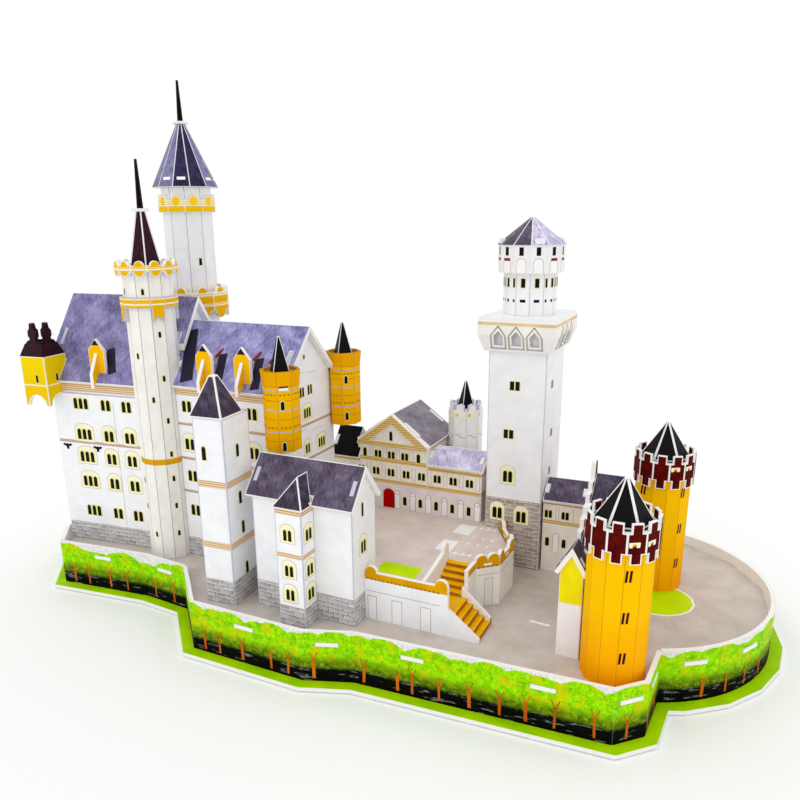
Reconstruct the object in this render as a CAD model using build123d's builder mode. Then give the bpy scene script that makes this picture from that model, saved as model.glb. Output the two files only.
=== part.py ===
"""Card castle: a model folded and slotted together from printed foam card.

Millimetres, +Z up. The origin is under the middle of the base plate.
Plots are surveyed from the west end of the front skirt: x runs along the
castle, y runs back from the viewer, z is the height above the table.
"""

import os
from math import atan, atan2, cos, degrees, pi, radians, sin, sqrt, tan

from build123d import *

os.makedirs("parts", exist_ok=True)

# Card, slots and tabs
board = 2.0
fit = 0.2
tab_width = 11.0
tab_proud = 0.3
tab_share = 0.4

# Heights of the three levels and the skirt
floor_height = 22.8
court_height = 44.6
skirt_height = 28.6
ledge = 5.8

# Plan of the skirt: front corners, round forecourt, rear corners
skirt_front = [(0, 0), (60.6, 6.5), (91.2, 3.9), (121.7, -26.4), (187.7, -27.1),
               (211.2, -18.6), (329.8, -12.5), (341.3, -1.2)]
forecourt_centre = (314.4, 94.2)
forecourt_radius = 74.8
forecourt_first = -67.4
forecourt_last = 105.0
forecourt_facets = 11
skirt_rear = [(242.5, 152), (143, 148), (111, 106), (70, 106), (54, 128), (12, 128), (-22.5, 92), (-17, 20)]
long_wall = 80.0

# Palas, west block: its front wall is turned a little
west_x, west_y, west_turn = -9.5, 17.5, 6.4
west_length, west_depth = 81.5, 62.2
west_eave, west_ridge = 125.0, 168.4
gable_overhang = 4.0
eaves_overhang = 1.5

# Palas, east block
east_x, east_y = 60.0, 28.0
east_end = 144.3
east_depth = 55.4
east_eave, east_ridge = 126.0, 155.6

# Dormers: an upright gable plate slotted over a hook plate
dormer_width = 10.5
dormer_back = 1.0
dormer_height = 19.5
dormer_gable = 6.5
dormer_hook = 6.0
dormer_front = 5.0
west_dormer_at = 34.0
east_dormers_at = [36.2, 61.6]

# Corner turret on the west block
turret_size = 17.0
turret_left, turret_front = 9.0, 12.0
turret_foot, turret_top, turret_apex = 110.5, 139.5, 157.5
turret_shoulder, turret_shoulder_rise, finial_out = 8.4, 7.0, 5.8

# Gable turrets at the two east corners of the east block
gable_turret_radius, gable_turret_flare = 9.6, 10.5
gable_turret_wall = 1.6
gable_turret_places = [(147.0, 27.0), (149.8, 87.8)]
gable_turret_foot, gable_turret_bend = 98.0, 132.5
gable_turret_deck, gable_turret_top = 136.3, 140.3
gable_spire_radius, gable_spire_height = 6.3, 18.7

# South stair tower
stair_x, stair_y = 62.6, 28.5
stair_radius, stair_sides = 13.0, 12
stair_top = 187.9
corbel_low, corbel_high, corbel_drip = 168.8, 174.5, 7.6
battlement_radius, battlement_height = 16.5, 3.4
stair_cone_radius, stair_cone_height, stair_cone_turn = 9.2, 28.9, 14.0
stair_spike = 26.0

# North tower
north_x, north_y = 32.0, 101.6
north_radius, north_sides = 15.4, 10
north_top = 233.6
balcony_radius, balcony_low, balcony_high = 22.0, 158.6, 170.4
gallery_low, gallery_high = 218.9, 226.5
north_roof_radius, north_roof_height, north_roof_turn = 20.3, 37.3, 18.0
north_spike = 24.6

# Discs and spikes on the two pointed roofs
disc_radius = 4.5
disc_thickness = 1.2
spike_foot, spike_tip = 1.9, 0.5
spike_card = 1.0
cone_tip = 2.6

# White tower
white_x, white_y, white_turn = 122.0, -13.4, 3.8
white_width, white_depth = 17.2, 22.8
white_top, white_roof_height = 122.0, 19.6
white_roof_side, white_roof_tip = 19.0, 2.2
white_roof_left, white_roof_front = 1.4, 0.9

# Kemenate and its oriel
kemenate_x, kemenate_y = 148.8, -5.4
kemenate_length, kemenate_depth = 56.2, 23.4
kemenate_ridge, kemenate_rise = 98.8, 14.3
kemenate_eave = kemenate_ridge - kemenate_rise
oriel_at, oriel_width, oriel_depth = 20.8, 14.6, 11.1
oriel_eave, oriel_roof_rise, oriel_hip, oriel_eaves = 84.0, 13.0, 9.4, 1.0

# Knights' house on the upper court: two wings and a gabled middle
wing_x, wing_y = 137.0, 94.4
wing_end, wing_depth = 233.9, 20.0
wing_ridge, wing_rise = 82.5, 7.0
wing_eave = wing_ridge - wing_rise
west_wing_ridge = wing_ridge + 5.0
middle_start, middle_end, middle_depth = 156.2, 200.4, 38.5
middle_ridge, middle_rise = 101.5, 16.0
middle_eave = middle_ridge - middle_rise
pediment_frame = 3.4
hall_eaves = 1.0

# Small round tower behind the wing
round_x, round_y = 211.2, 128.6
round_radius, round_sides, round_top = 10.3, 8, 103.0
round_merlon = 4.2
round_spire_radius, round_spire_height = 5.6, 16.8

# Square tower
square_x, square_y = 238.0, 90.5
square_width, square_depth = 31.4, 37.6
square_top = 162.0
cornice_low, cornice_bend, cornice_out = 146.0, 154.5, 2.9
arch_pitch, arch_width, arch_sill, arch_rise, arch_shoulder = 9.7, 5.2, 3.3, 7.8, 5.0
drum_radius, drum_sides, drum_top = 14.1, 12, 200.0
crown_radius, crown_drop = 17.3, 14.0
crown_roof_radius, crown_roof_height = 18.3, 14.0

# Link house between the square tower and the gatehouse
link_x, link_y, link_turn = 270.4, 93.4, 2.0
link_length, link_depth = 22.6, 20.0
link_ridge, link_rise = 72.6, 7.6
link_eave = link_ridge - link_rise

# Gatehouse with crow-stepped gables
gate_x, gate_y = 301.8, 24.6
gate_length, gate_depth = 16.6, 66.5
gate_eave, gate_ridge = 64.5, 93.6
gate_steps = 6
gate_step_low, gate_step_rise, gate_finial = 72.0, 4.3, 5.0

# Gate lodge
lodge_x, lodge_y = 299.0, 12.0
lodge_width, lodge_depth = 10.2, 11.0
lodge_ridge, lodge_rise = 73.0, 8.5
lodge_eave = lodge_ridge - lodge_rise

# Gate towers
gate_towers_at = [(324.5, 9.3), (330.0, 106.0)]
gate_tower_radius, gate_tower_sides = 13.8, 12
gate_tower_top = 92.2
collar_wall = 1.3
collar_low, collar_high = 85.0, 94.2
merlon_width, merlon_rise, drop_tab = 4.6, 4.0, 4.4
gate_roof_radius, gate_roof_height, gate_roof_turn = 12.5, 18.4, 8.0

# Terrace, bastion and stairs of the upper court
terrace_y = 5.4
terrace_start, terrace_end, cheek_end = 205.2, 249.0, 264.5
parapet = 3.6
knob_radius = 3.4
stair_well_x, stair_well_y = 233.0, 42.0
bastion = [(251.5, 26.0), (251.5, 36.8), (261.2, 46.0), (262.0, 67.4), (249.0, 90.1)]
landing_height = 35.0
landing_back, landing_front = 23.0, 7.8
lower_stair_end, lower_stair_back = 264.0, 23.4
steps = 5
tread_card = 1.0
court_back = 141.0
annex_margin = 1.0
bastion_inset = 3.4


# The survey frame: everything is moved so that the base plate's middle is the origin

def on_forecourt(angle, radius):
    """A point on a circle about the middle of the round forecourt."""
    return (forecourt_centre[0] + radius * cos(radians(angle)),
            forecourt_centre[1] + radius * sin(radians(angle)))


facet = (forecourt_last - forecourt_first) / forecourt_facets
faceted_radius = forecourt_radius / cos(radians(facet / 2))
faceted_arc = [on_forecourt(forecourt_first + facet * (n + 0.5), faceted_radius) for n in range(forecourt_facets)]
arc_start = on_forecourt(forecourt_first, forecourt_radius)
arc_end = on_forecourt(forecourt_last, forecourt_radius)

with BuildSketch() as base_plan:
    with BuildLine():
        Polyline(*skirt_front, arc_start, *faceted_arc, arc_end, *skirt_rear, close=True)
    make_face()
    offset(amount=ledge, kind=Kind.INTERSECTION)
middle = base_plan.sketch.bounding_box().center()


def plot(x, y, turn=0.0):
    """The ground plane of one building, with its origin at a surveyed point."""
    across = (cos(radians(turn)), sin(radians(turn)), 0)
    return Plane(origin=(x - middle.X, y - middle.Y, 0), x_dir=across, z_dir=(0, 0, 1))


def front_face(ground, back=0.0):
    """Upright plane facing the viewer: x along the plot, y up."""
    return Plane(origin=ground.from_local_coords((0, back, 0)), x_dir=ground.x_dir, z_dir=-ground.y_dir)


def side_face(ground, along=0.0):
    """Upright plane facing along the plot: x runs back, y up."""
    return Plane(origin=ground.from_local_coords((along, 0, 0)), x_dir=ground.y_dir, z_dir=ground.x_dir)


def facet_faces(ground, apothem, sides, turn=0.0, every=1):
    """Upright planes on the flats of a polygon: x along the flat, y up, facing out."""
    faces = []
    for n in range(0, sides, every):
        angle = radians(turn + 360 / sides * (n + 0.5))
        out = ground.x_dir * cos(angle) + ground.y_dir * sin(angle)
        along = ground.y_dir * cos(angle) - ground.x_dir * sin(angle)
        faces.append(Plane(origin=ground.origin + out * apothem, x_dir=along, z_dir=out))
    return faces


survey = plot(0, 0)


def save(piece, label):
    """Name a finished piece and write its file."""
    piece.part.label = label
    export_step(piece.part, f"parts/{label}.step")


# Shapes that several buildings share

def polygon_ring(radius, sides, wall, turn=0.0):
    """A polygon outline of one card thickness, folded at its corners."""
    RegularPolygon(radius=radius, side_count=sides, rotation=turn)
    RegularPolygon(radius=radius - wall / cos(pi / sides), side_count=sides, rotation=turn, mode=Mode.SUBTRACT)


def corner_box(along, back, width, depth, mode=Mode.ADD):
    """A rectangle drawn from its front left corner."""
    with Locations((along, back)):
        Rectangle(width, depth, align=(Align.MIN, Align.MIN), mode=mode)


def pyramid(ground, low, radius, sides, height, tip, turn=0.0, hole=0.0, wall=board):
    """A hollow pointed roof folded from one sheet; a hole's radius adds a flat ring to stand on."""
    apothem = radius * cos(pi / sides)
    tip_apothem = tip * cos(pi / sides)
    slope = atan(height / (apothem - tip_apothem))
    inner = (apothem - wall / sin(slope)) / apothem * radius
    inner_tip = 0.3
    inner_height = (inner - inner_tip) * cos(pi / sides) * tan(slope)
    for foot, head, top, mode in ((radius, tip, height, Mode.ADD), (inner, inner_tip, inner_height, Mode.SUBTRACT)):
        with BuildSketch(ground.offset(low)) as foot_plan:
            RegularPolygon(radius=foot, side_count=sides, rotation=turn)
        with BuildSketch(ground.offset(low + top)) as head_plan:
            RegularPolygon(radius=head, side_count=sides, rotation=turn)
        loft([foot_plan.sketch, head_plan.sketch], mode=mode)
    if hole:
        ring = apothem - wall * (1 + cos(slope)) / (2 * sin(slope))
        with BuildSketch(ground.offset(low)) as seat:
            RegularPolygon(radius=ring / apothem * radius, side_count=sides, rotation=turn)
            RegularPolygon(radius=hole, side_count=sides, rotation=turn, mode=Mode.SUBTRACT)
        extrude(seat.sketch, amount=wall)


def slope_tab(depth, eave, ridge, proud, play=0.0):
    """Outline of the two tabs by which a gable holds the roof, seen along the ridge."""
    rise = (ridge - eave) / (depth / 2)
    norm = sqrt(1 + rise * rise)
    lift = board + proud
    middle_of_slope = depth / 4
    half = min(tab_width, tab_share * depth / 2 * norm) / 2 / norm + play
    for mirrored in (False, True):
        corners = []
        for back, above in ((-half, -board / 2), (half, -board / 2), (half, lift), (-half, lift)):
            across = middle_of_slope + back - above * rise / norm
            corners.append((depth - across if mirrored else across,
                            eave + (middle_of_slope + back) * rise + above / norm))
        with BuildLine() as outline:
            Polyline(*corners, close=True)
        make_face(outline.edges())


def gabled_walls(ground, length, depth, foot, eave, ridge):
    """Four walls folded from one strip, with a gable and two roof tabs at each end."""
    with BuildSketch(side_face(ground)) as profile:
        with BuildLine():
            Polyline((0, foot), (depth, foot), (depth, eave), (depth / 2, ridge), (0, eave), close=True)
        make_face()
    extrude(profile.sketch, amount=length)
    for end in (0, length - board):
        with BuildSketch(side_face(ground, end)) as profile:
            slope_tab(depth, eave, ridge, tab_proud)
        extrude(profile.sketch, amount=board)
    with BuildSketch(ground.offset(foot)) as profile:
        corner_box(board, board, length - 2 * board, depth - 2 * board)
    extrude(profile.sketch, amount=ridge, mode=Mode.SUBTRACT)


def gabled_roof(ground, length, depth, eave, ridge, left, right, eaves=eaves_overhang):
    """A sheet folded once along the ridge, with slots for the gable tabs."""
    rise = (ridge - eave) / (depth / 2)
    norm = sqrt(1 + rise * rise)
    drop = eaves * rise
    out = board * rise / norm
    up = board / norm
    with BuildSketch(side_face(ground, -left)) as profile:
        with BuildLine():
            Polyline((-eaves, eave - drop), (depth / 2, ridge), (depth + eaves, eave - drop),
                     (depth + eaves + out, eave - drop + up), (depth / 2, ridge + board * norm),
                     (-eaves - out, eave - drop + up), close=True)
        make_face()
    extrude(profile.sketch, amount=left + length + right)
    for end in (0, length - board):
        with BuildSketch(side_face(ground, end - fit)) as profile:
            slope_tab(depth, eave, ridge, board, fit)
        extrude(profile.sketch, amount=board + 2 * fit, mode=Mode.SUBTRACT)


def strip(points, bottom, top, start_trim=0.0, end_trim=0.0):
    """A wall of one card thickness whose outer face follows surveyed points."""
    line = [Vector(*p) for p in points]
    line[0] = line[0] + (line[1] - line[0]).normalized() * start_trim
    line[-1] = line[-1] + (line[-2] - line[-1]).normalized() * end_trim
    with BuildSketch(survey.offset(bottom)) as profile:
        with BuildLine():
            Polyline(*line)
            offset(amount=board, side=Side.LEFT, kind=Kind.INTERSECTION)
        make_face()
    extrude(profile.sketch, amount=top - bottom)


def wall_run(points, first, last):
    """The middles and directions of tab places along a polygon of walls."""
    places = []
    for start, end in zip(points[first:last], points[first + 1:last + 1]):
        a, b = Vector(*start), Vector(*end)
        count = 2 if (b - a).length > long_wall else 1
        for n in range(count):
            share = (n + 0.5) / count
            places.append((a + (b - a) * share, degrees(atan2(b.Y - a.Y, b.X - a.X))))
    return places


# Base plate

with BuildPart() as base_plate:
    with BuildSketch(survey):
        add(base_plan.sketch)
    extrude(amount=board)
save(base_plate, "base_plate")

# Tab places round the yard: the floor's tabs pass through the skirt

front_line = skirt_front + [arc_start]
rear_line = [arc_end] + skirt_rear + [skirt_front[0]]
tab_places = wall_run(front_line, 0, len(front_line) - 1) + wall_run(rear_line, 0, len(rear_line) - 1)
arc_tabs = 7
for n in range(arc_tabs):
    angle = forecourt_first + (forecourt_last - forecourt_first) * (n + 0.5) / arc_tabs
    tab_places.append((Vector(*on_forecourt(angle, forecourt_radius)), angle + 90))


def floor_tabs(width, reach, back):
    """Rectangles across the skirt at every tab place."""
    for where, angle in tab_places:
        with Locations(Location((where.X, where.Y, 0), (0, 0, angle))):
            with Locations((0, (back - reach) / 2)):
                Rectangle(width, back + reach)


# Skirt: printed strips round the yard, slotted for the floor's tabs

def skirt_slots():
    with BuildSketch(survey.offset(floor_height - board - fit)) as profile:
        floor_tabs(tab_width + 2 * fit, board, 2 * board)
    extrude(profile.sketch, amount=board + 2 * fit, mode=Mode.SUBTRACT)


skirt_strips = {
    "skirt_front_west": (skirt_front[0:3], 0, 0),
    "skirt_front_middle": (skirt_front[2:6], 0, 0),
    "skirt_front_east": (skirt_front[5:] + [arc_start], 0, 0),
    "skirt_rear_east": (rear_line[0:4], fit, 0),
    "skirt_rear_west": (rear_line[3:10], 0, board + fit),
}
for name, (points, start_trim, end_trim) in skirt_strips.items():
    with BuildPart() as skirt:
        strip(points, board, skirt_height, start_trim, end_trim)
        skirt_slots()
    save(skirt, name)

with BuildPart() as skirt_forecourt:
    with BuildSketch(survey.offset(board)):
        with BuildLine():
            arc_span = forecourt_last - forecourt_first
            outer = CenterArc(forecourt_centre, forecourt_radius, forecourt_first, arc_span)
            inner = CenterArc(forecourt_centre, forecourt_radius - board, forecourt_first, arc_span)
            Line(outer @ 0, inner @ 0)
            Line(outer @ 1, inner @ 1)
        make_face()
    extrude(amount=skirt_height - board)
    skirt_slots()
save(skirt_forecourt, "skirt_forecourt")

# Courtyard floor, tabbed through the skirt

with BuildPart() as courtyard_floor:
    with BuildSketch(survey.offset(floor_height - board)):
        with BuildLine():
            Polyline(*skirt_front, arc_start)
            CenterArc(forecourt_centre, forecourt_radius, forecourt_first, arc_span)
            Polyline(arc_end, *skirt_rear, skirt_front[0])
        make_face()
        offset(amount=-(board + fit), kind=Kind.INTERSECTION)
        floor_tabs(tab_width, tab_proud, 3 * board)
    extrude(amount=board)
save(courtyard_floor, "courtyard_floor")

# Ribs: crossed strips halved into each other, under the floor and under the upper court


def rib_lattice(bottom, top, long_ribs, cross_ribs):
    """Long ribs slotted from above, cross ribs slotted from below, each rib a piece of its own."""
    half = (top - bottom) / 2
    for back, start, end in long_ribs:
        with BuildSketch(front_face(survey, back + board)) as profile:
            corner_box(start, bottom, end - start, top - bottom)
            for along, _, _ in cross_ribs:
                corner_box(along - fit, bottom + half, board + 2 * fit, half, Mode.SUBTRACT)
        extrude(profile.sketch, amount=board)
    for along, start, end in cross_ribs:
        with BuildSketch(side_face(survey, along)) as profile:
            corner_box(start, bottom, end - start, top - bottom)
            for back, _, _ in long_ribs:
                corner_box(back - fit, bottom, board + 2 * fit, half + fit, Mode.SUBTRACT)
        extrude(profile.sketch, amount=board)


# Upper court: a deck on ribs, with the well of the stairs cut out of its front

deck_west = east_end + fit
kemenate_back = kemenate_y + kemenate_depth
kemenate_end = kemenate_x + kemenate_length
terrace_inner = terrace_y + board + fit
bastion_inner = [(x - bastion_inset, y) for x, y in bastion]
annex_x = wing_x - annex_margin
annex_front = east_y + east_depth + 3 * fit
annex_back = wing_y + wing_depth + annex_margin
annex = [(deck_west, annex_back), (annex_x, annex_back), (annex_x, annex_front), (deck_west, annex_front)]

with BuildPart() as upper_court:
    with BuildSketch(survey.offset(court_height - board)):
        with BuildLine():
            Polyline((deck_west, kemenate_back + fit), (kemenate_end + fit, kemenate_back + fit),
                     (kemenate_end + fit, terrace_inner), (stair_well_x, terrace_inner),
                     (stair_well_x, stair_well_y), (bastion_inner[1][0], stair_well_y),
                     bastion_inner[2], bastion_inner[3], (bastion_inner[4][0], square_y - fit),
                     (square_x - fit, square_y - fit), (square_x - fit, court_back),
                     (deck_west, court_back), *annex, close=True)
        make_face()
    extrude(amount=board)
save(upper_court, "upper_court")

with BuildPart() as ribs:
    rib_lattice(board, floor_height - board, [(36, -12, 336), (78, -14, 372)],
                [(24, 10, 112), (132, -20, 98), (206, -14, 140), (300, -8, 158)])
    rib_lattice(floor_height, court_height - board, [(48, deck_west + 6, 256), (108, deck_west + 6, 232)],
                [(176, 24, 128), (222, 14, 128)])
save(ribs, "ribs")

with BuildPart() as court_wall:
    strip([(square_x - fit, square_y + square_depth + fit), (square_x - fit, court_back), (deck_west, court_back),
           *annex], floor_height, court_height - board)
save(court_wall, "court_wall")

# Terrace wall: its parapet ends in two knobs and its east end falls with the lower stair

wall_top = court_height + parapet
with BuildPart() as terrace_wall:
    with BuildSketch(front_face(plot(0, terrace_y), board)):
        with BuildLine():
            Polyline((terrace_start, floor_height), (cheek_end, floor_height), (cheek_end, floor_height + board),
                     (terrace_end, landing_height + board), (terrace_end, wall_top), (terrace_start, wall_top),
                     close=True)
        make_face()
        with Locations((terrace_start + knob_radius, wall_top), (terrace_end - knob_radius, wall_top)):
            RegularPolygon(radius=knob_radius, side_count=10)
    extrude(amount=board)
save(terrace_wall, "terrace_wall")

# Bastion: a folded wall with a gold parapet and round knobs where it folds


def wall_face(start, end):
    """Upright plane on the outer face of a wall that runs between two surveyed points."""
    along = (Vector(*end) - Vector(*start)).normalized()
    return Plane(origin=survey.from_local_coords((*start, 0)), x_dir=along, z_dir=along.cross(Vector(0, 0, 1)))


with BuildPart() as bastion_wall:
    strip(bastion, floor_height, wall_top, 0, fit)
    for start, end in zip(bastion[1:], bastion[2:]):
        run = (Vector(*end) - Vector(*start)).length
        with BuildSketch(wall_face(start, end)):
            with Locations((knob_radius, wall_top), (run - knob_radius, wall_top)):
                RegularPolygon(radius=knob_radius, side_count=10)
        extrude(amount=-board)
save(bastion_wall, "bastion_wall")

# Upper stair: one strip folded from the deck down to a landing, beside its rail

flight_side = stair_well_x + fit + board
run = (stair_well_y - fit - landing_back) / steps
rise = (court_height - landing_height) / steps
with BuildPart() as upper_stair:
    tread = [(stair_well_y - fit, floor_height)]
    for n in range(steps):
        tread += [(stair_well_y - fit - n * run, court_height - n * rise),
                  (stair_well_y - fit - (n + 1) * run, court_height - n * rise)]
    tread += [(landing_back, landing_height), (landing_front, landing_height), (landing_front, floor_height)]
    with BuildSketch(side_face(survey, flight_side)):
        with BuildLine():
            Polyline(*tread)
            offset(amount=tread_card, side=Side.LEFT, kind=Kind.INTERSECTION)
        make_face()
    extrude(amount=terrace_end - flight_side)
    with BuildSketch(side_face(survey, stair_well_x + fit)):
        with BuildLine():
            Polyline((landing_front, floor_height), (stair_well_y - fit, floor_height),
                     (stair_well_y - fit, court_height + 7.5), (landing_back, court_height + parapet),
                     (landing_front, court_height + 1.2), close=True)
        make_face()
        with Locations((stair_well_y - fit - knob_radius, court_height + 7)):
            RegularPolygon(radius=knob_radius, side_count=10)
    extrude(amount=board)
save(upper_stair, "upper_stair")

# Lower stair: a second folded strip from the landing to the yard, with a sloping handrail

lower_start = terrace_end + fit
lower_run = (lower_stair_end - lower_start) / steps
lower_rise = (landing_height - floor_height) / steps
with BuildPart() as lower_stair:
    tread = [(lower_start, floor_height)]
    for n in range(steps):
        tread += [(lower_start + n * lower_run, landing_height - n * lower_rise),
                  (lower_start + (n + 1) * lower_run, landing_height - n * lower_rise)]
    tread += [(lower_stair_end, floor_height)]
    with BuildSketch(front_face(survey, lower_stair_back)):
        with BuildLine():
            Polyline(*tread)
            offset(amount=tread_card, side=Side.RIGHT, kind=Kind.INTERSECTION)
        make_face()
    extrude(amount=lower_stair_back - landing_front)
    with BuildSketch(front_face(survey, lower_stair_back + board)):
        with BuildLine():
            Polyline((lower_start, floor_height), (lower_stair_end, floor_height),
                     (lower_stair_end, floor_height + 4), (lower_start, landing_height + 5), close=True)
        make_face()
    extrude(amount=board)
save(lower_stair, "lower_stair")


# Houses and towers cut room for each other with these

def cut_tower(ground, radius, sides, low, high, turn=0.0, clear=fit):
    """Cut the room that a polygonal tower takes."""
    with BuildSketch(ground.offset(low)) as profile:
        RegularPolygon(radius=radius + clear / cos(pi / sides), side_count=sides, rotation=turn)
    extrude(profile.sketch, amount=high - low, mode=Mode.SUBTRACT)


def cut_house(ground, length, depth, foot, eave, ridge, grow=fit):
    """Cut the room that a gabled house takes, grown by a clearance or by its roof."""
    slope = (ridge - eave) / (depth / 2)
    lift = grow * sqrt(1 + slope * slope)
    with BuildSketch(side_face(ground, -grow)) as profile:
        with BuildLine():
            Polyline((-grow, foot), (depth + grow, foot), (depth + grow, eave + lift - grow * slope),
                     (depth / 2, ridge + lift), (-grow, eave + lift - grow * slope), close=True)
        make_face()
    extrude(profile.sketch, amount=length + 2 * grow, mode=Mode.SUBTRACT)


def cut_box(ground, start, end, low, high):
    """Cut a box given by two corners in plan and two heights."""
    with BuildSketch(ground.offset(low)) as profile:
        corner_box(*start, end[0] - start[0], end[1] - start[1])
    extrude(profile.sketch, amount=high - low, mode=Mode.SUBTRACT)


def arch(along, level, width, height, mode=Mode.ADD):
    """Round-headed card outline; it stands on a level, or hangs when its height is negative."""
    up = 1 if height > 0 else -1
    spring = level + height - up * width / 2
    head = [(along + width / 2 * cos(pi * n / head_cuts), spring + up * width / 2 * sin(pi * n / head_cuts))
            for n in range(head_cuts + 1)]
    with BuildLine() as outline:
        Polyline((along - width / 2, level), (along + width / 2, level), *head, close=True)
    make_face(outline.edges(), mode=mode)


def point(along, level, width, height, shoulder, mode=Mode.ADD):
    """Pointed card outline; it stands on a level, or hangs when its height is negative."""
    with BuildLine() as outline:
        Polyline((along - width / 2, level), (along + width / 2, level),
                 (along + width / 2, level + shoulder), (along, level + height),
                 (along - width / 2, level + shoulder), close=True)
    make_face(outline.edges(), mode=mode)


head_cuts = 6


def collar(ground, radius, sides, low, high, turn=0.0, wall=board):
    """A ring folded round a tower."""
    with BuildSketch(ground.offset(low)) as profile:
        polygon_ring(radius, sides, wall, turn)
    extrude(profile.sketch, amount=high - low)


def seat_ring(ground, radius, sides, hole, low, turn=0.0, thick=board):
    """A flat ring that fills a collar and rests on or round the tower inside it."""
    with BuildSketch(ground.offset(low)) as profile:
        RegularPolygon(radius=radius, side_count=sides, rotation=turn)
        if hole:
            RegularPolygon(radius=hole, side_count=sides, rotation=turn, mode=Mode.SUBTRACT)
    extrude(profile.sketch, amount=thick)


def outline_on_facets(ground, radius, sides, draw, turn=0.0, every=1, wall=board):
    """Cut the same card outline on the flats of a collar."""
    for face in facet_faces(ground, radius * cos(pi / sides), sides, turn, every):
        with BuildSketch(face) as profile:
            draw()
        extrude(profile.sketch, amount=-wall)


# Palas, west block

west = plot(west_x, west_y, west_turn)
east = plot(east_x, east_y)
stair_ground = plot(stair_x, stair_y)
north_ground = plot(north_x, north_y)
stair_turn = 180 / stair_sides
north_turn = 180 / north_sides
east_length = east_end - east_x
west_house = (west, west_length, west_depth, floor_height, west_eave, west_ridge)
east_house = (east, east_length, east_depth, floor_height, east_eave, east_ridge)
gable_turrets_at = [plot(*place) for place in gable_turret_places]


def roof_top(depth, eave, ridge, back):
    """Height of a roof's upper face, a distance back from the front wall."""
    slope = (ridge - eave) / (depth / 2)
    return eave + slope * back + board * sqrt(1 + slope * slope)


def dormer_slots(ground, places):
    for at in places:
        cut_box(ground, (at - dormer_width / 2 - fit, dormer_back - fit),
                (at + dormer_width / 2 + fit, dormer_back + board + fit), floor_height, north_top)


with BuildPart() as palas_west_walls:
    gabled_walls(*west_house)
    cut_tower(stair_ground, stair_radius, stair_sides, floor_height, stair_top, stair_turn)
save(palas_west_walls, "palas_west_walls")

with BuildPart() as palas_west_roof:
    gabled_roof(west, west_length, west_depth, west_eave, west_ridge, gable_overhang, gable_overhang)
    cut_tower(stair_ground, stair_radius, stair_sides, floor_height, stair_top, stair_turn)
    cut_tower(north_ground, north_radius, north_sides, floor_height, north_top, north_turn)
    cut_box(west, (-turret_left - fit, -turret_front - fit),
            (turret_size - turret_left + fit, turret_size - turret_front + fit), turret_foot, north_top)
    cut_box(west, (west_length, -9), (west_length + 9, stair_radius), floor_height, north_top)
    dormer_slots(west, [west_dormer_at])
save(palas_west_roof, "palas_west_roof")

# Palas, east block: it butts against the west block and folds round two gable turrets

with BuildPart() as palas_east_walls:
    gabled_walls(*east_house)
    cut_tower(stair_ground, stair_radius, stair_sides, floor_height, stair_top, stair_turn)
    cut_box(west, (-1, -1), (west_length + fit, west_depth + 1), floor_height, north_top)
save(palas_east_walls, "palas_east_walls")

with BuildPart() as palas_east_roof:
    gabled_roof(east, east_length, east_depth, east_eave, east_ridge, 0, gable_overhang)
    cut_tower(stair_ground, stair_radius, stair_sides, floor_height, stair_top, stair_turn)
    cut_box(west, (-1, -9), (west_length + fit, west_depth + 9), floor_height, north_top)
    slope = (west_ridge - west_eave) / (west_depth / 2)
    with BuildSketch(side_face(west, west_length)):
        with BuildLine():
            Polyline((-9, west_eave - fit - 9 * slope), (west_depth / 2, west_ridge - fit),
                     (west_depth + 9, west_eave - fit - 9 * slope), (west_depth / 2, north_top), close=True)
        make_face()
    extrude(amount=gable_overhang + fit, mode=Mode.SUBTRACT)
    for place in gable_turrets_at:
        cut_tower(place, gable_turret_flare, 8, gable_turret_foot, north_top, 22.5)
    dormer_slots(east, east_dormers_at)
save(palas_east_roof, "palas_east_roof")

# Dormers: a gable plate through the roof, halved over a plate that reaches to the eave


def dormer(ground, depth, eave, ridge, at):
    sill = roof_top(depth, eave, ridge, dormer_back)
    foot = sill - board + fit
    mid = sill + dormer_height / 3
    with BuildSketch(front_face(ground, dormer_back + board)) as profile:
        point(at, foot, dormer_width, sill + dormer_height - foot, sill + dormer_height - foot - dormer_gable)
        corner_box(at - board / 2 - fit, foot, board + 2 * fit, mid - foot, Mode.SUBTRACT)
    extrude(profile.sketch, amount=board)
    reach = dormer_back + board + dormer_hook
    low_end = roof_top(depth, eave, ridge, -dormer_front)
    far_end = roof_top(depth, eave, ridge, reach)
    with BuildSketch(side_face(ground, at - board / 2)) as profile:
        with BuildLine():
            Polyline((-dormer_front, low_end + fit), (reach, far_end + fit), (dormer_back, sill + dormer_height * 0.6),
                     (-dormer_front, sill), close=True)
        make_face()
        corner_box(dormer_back - fit, mid - fit, board + 2 * fit, dormer_height, Mode.SUBTRACT)
    extrude(profile.sketch, amount=board)


with BuildPart() as dormers:
    dormer(west, west_depth, west_eave, west_ridge, west_dormer_at)
    for at in east_dormers_at:
        dormer(east, east_depth, east_eave, east_ridge, at)
save(dormers, "dormers")

# Corner turret: a square ring folded round the corner of the west block

turret_mid = Plane(origin=west.from_local_coords((turret_size / 2 - turret_left, turret_size / 2 - turret_front, 0)),
                   x_dir=west.x_dir, z_dir=(0, 0, 1))
with BuildPart() as corner_turret:
    with BuildSketch(turret_mid.offset(turret_foot)):
        Rectangle(turret_size, turret_size)
        Rectangle(turret_size - 2 * board, turret_size - 2 * board, mode=Mode.SUBTRACT)
    extrude(amount=turret_top - turret_foot)
    for face in facet_faces(turret_mid, turret_size / 2, 4, 45):
        with BuildSketch(face):
            arch(0, turret_foot - fit, turret_size - 4, 6.6)
        extrude(amount=-board, mode=Mode.SUBTRACT)
    cut_house(*west_house)
save(corner_turret, "corner_turret")

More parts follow.
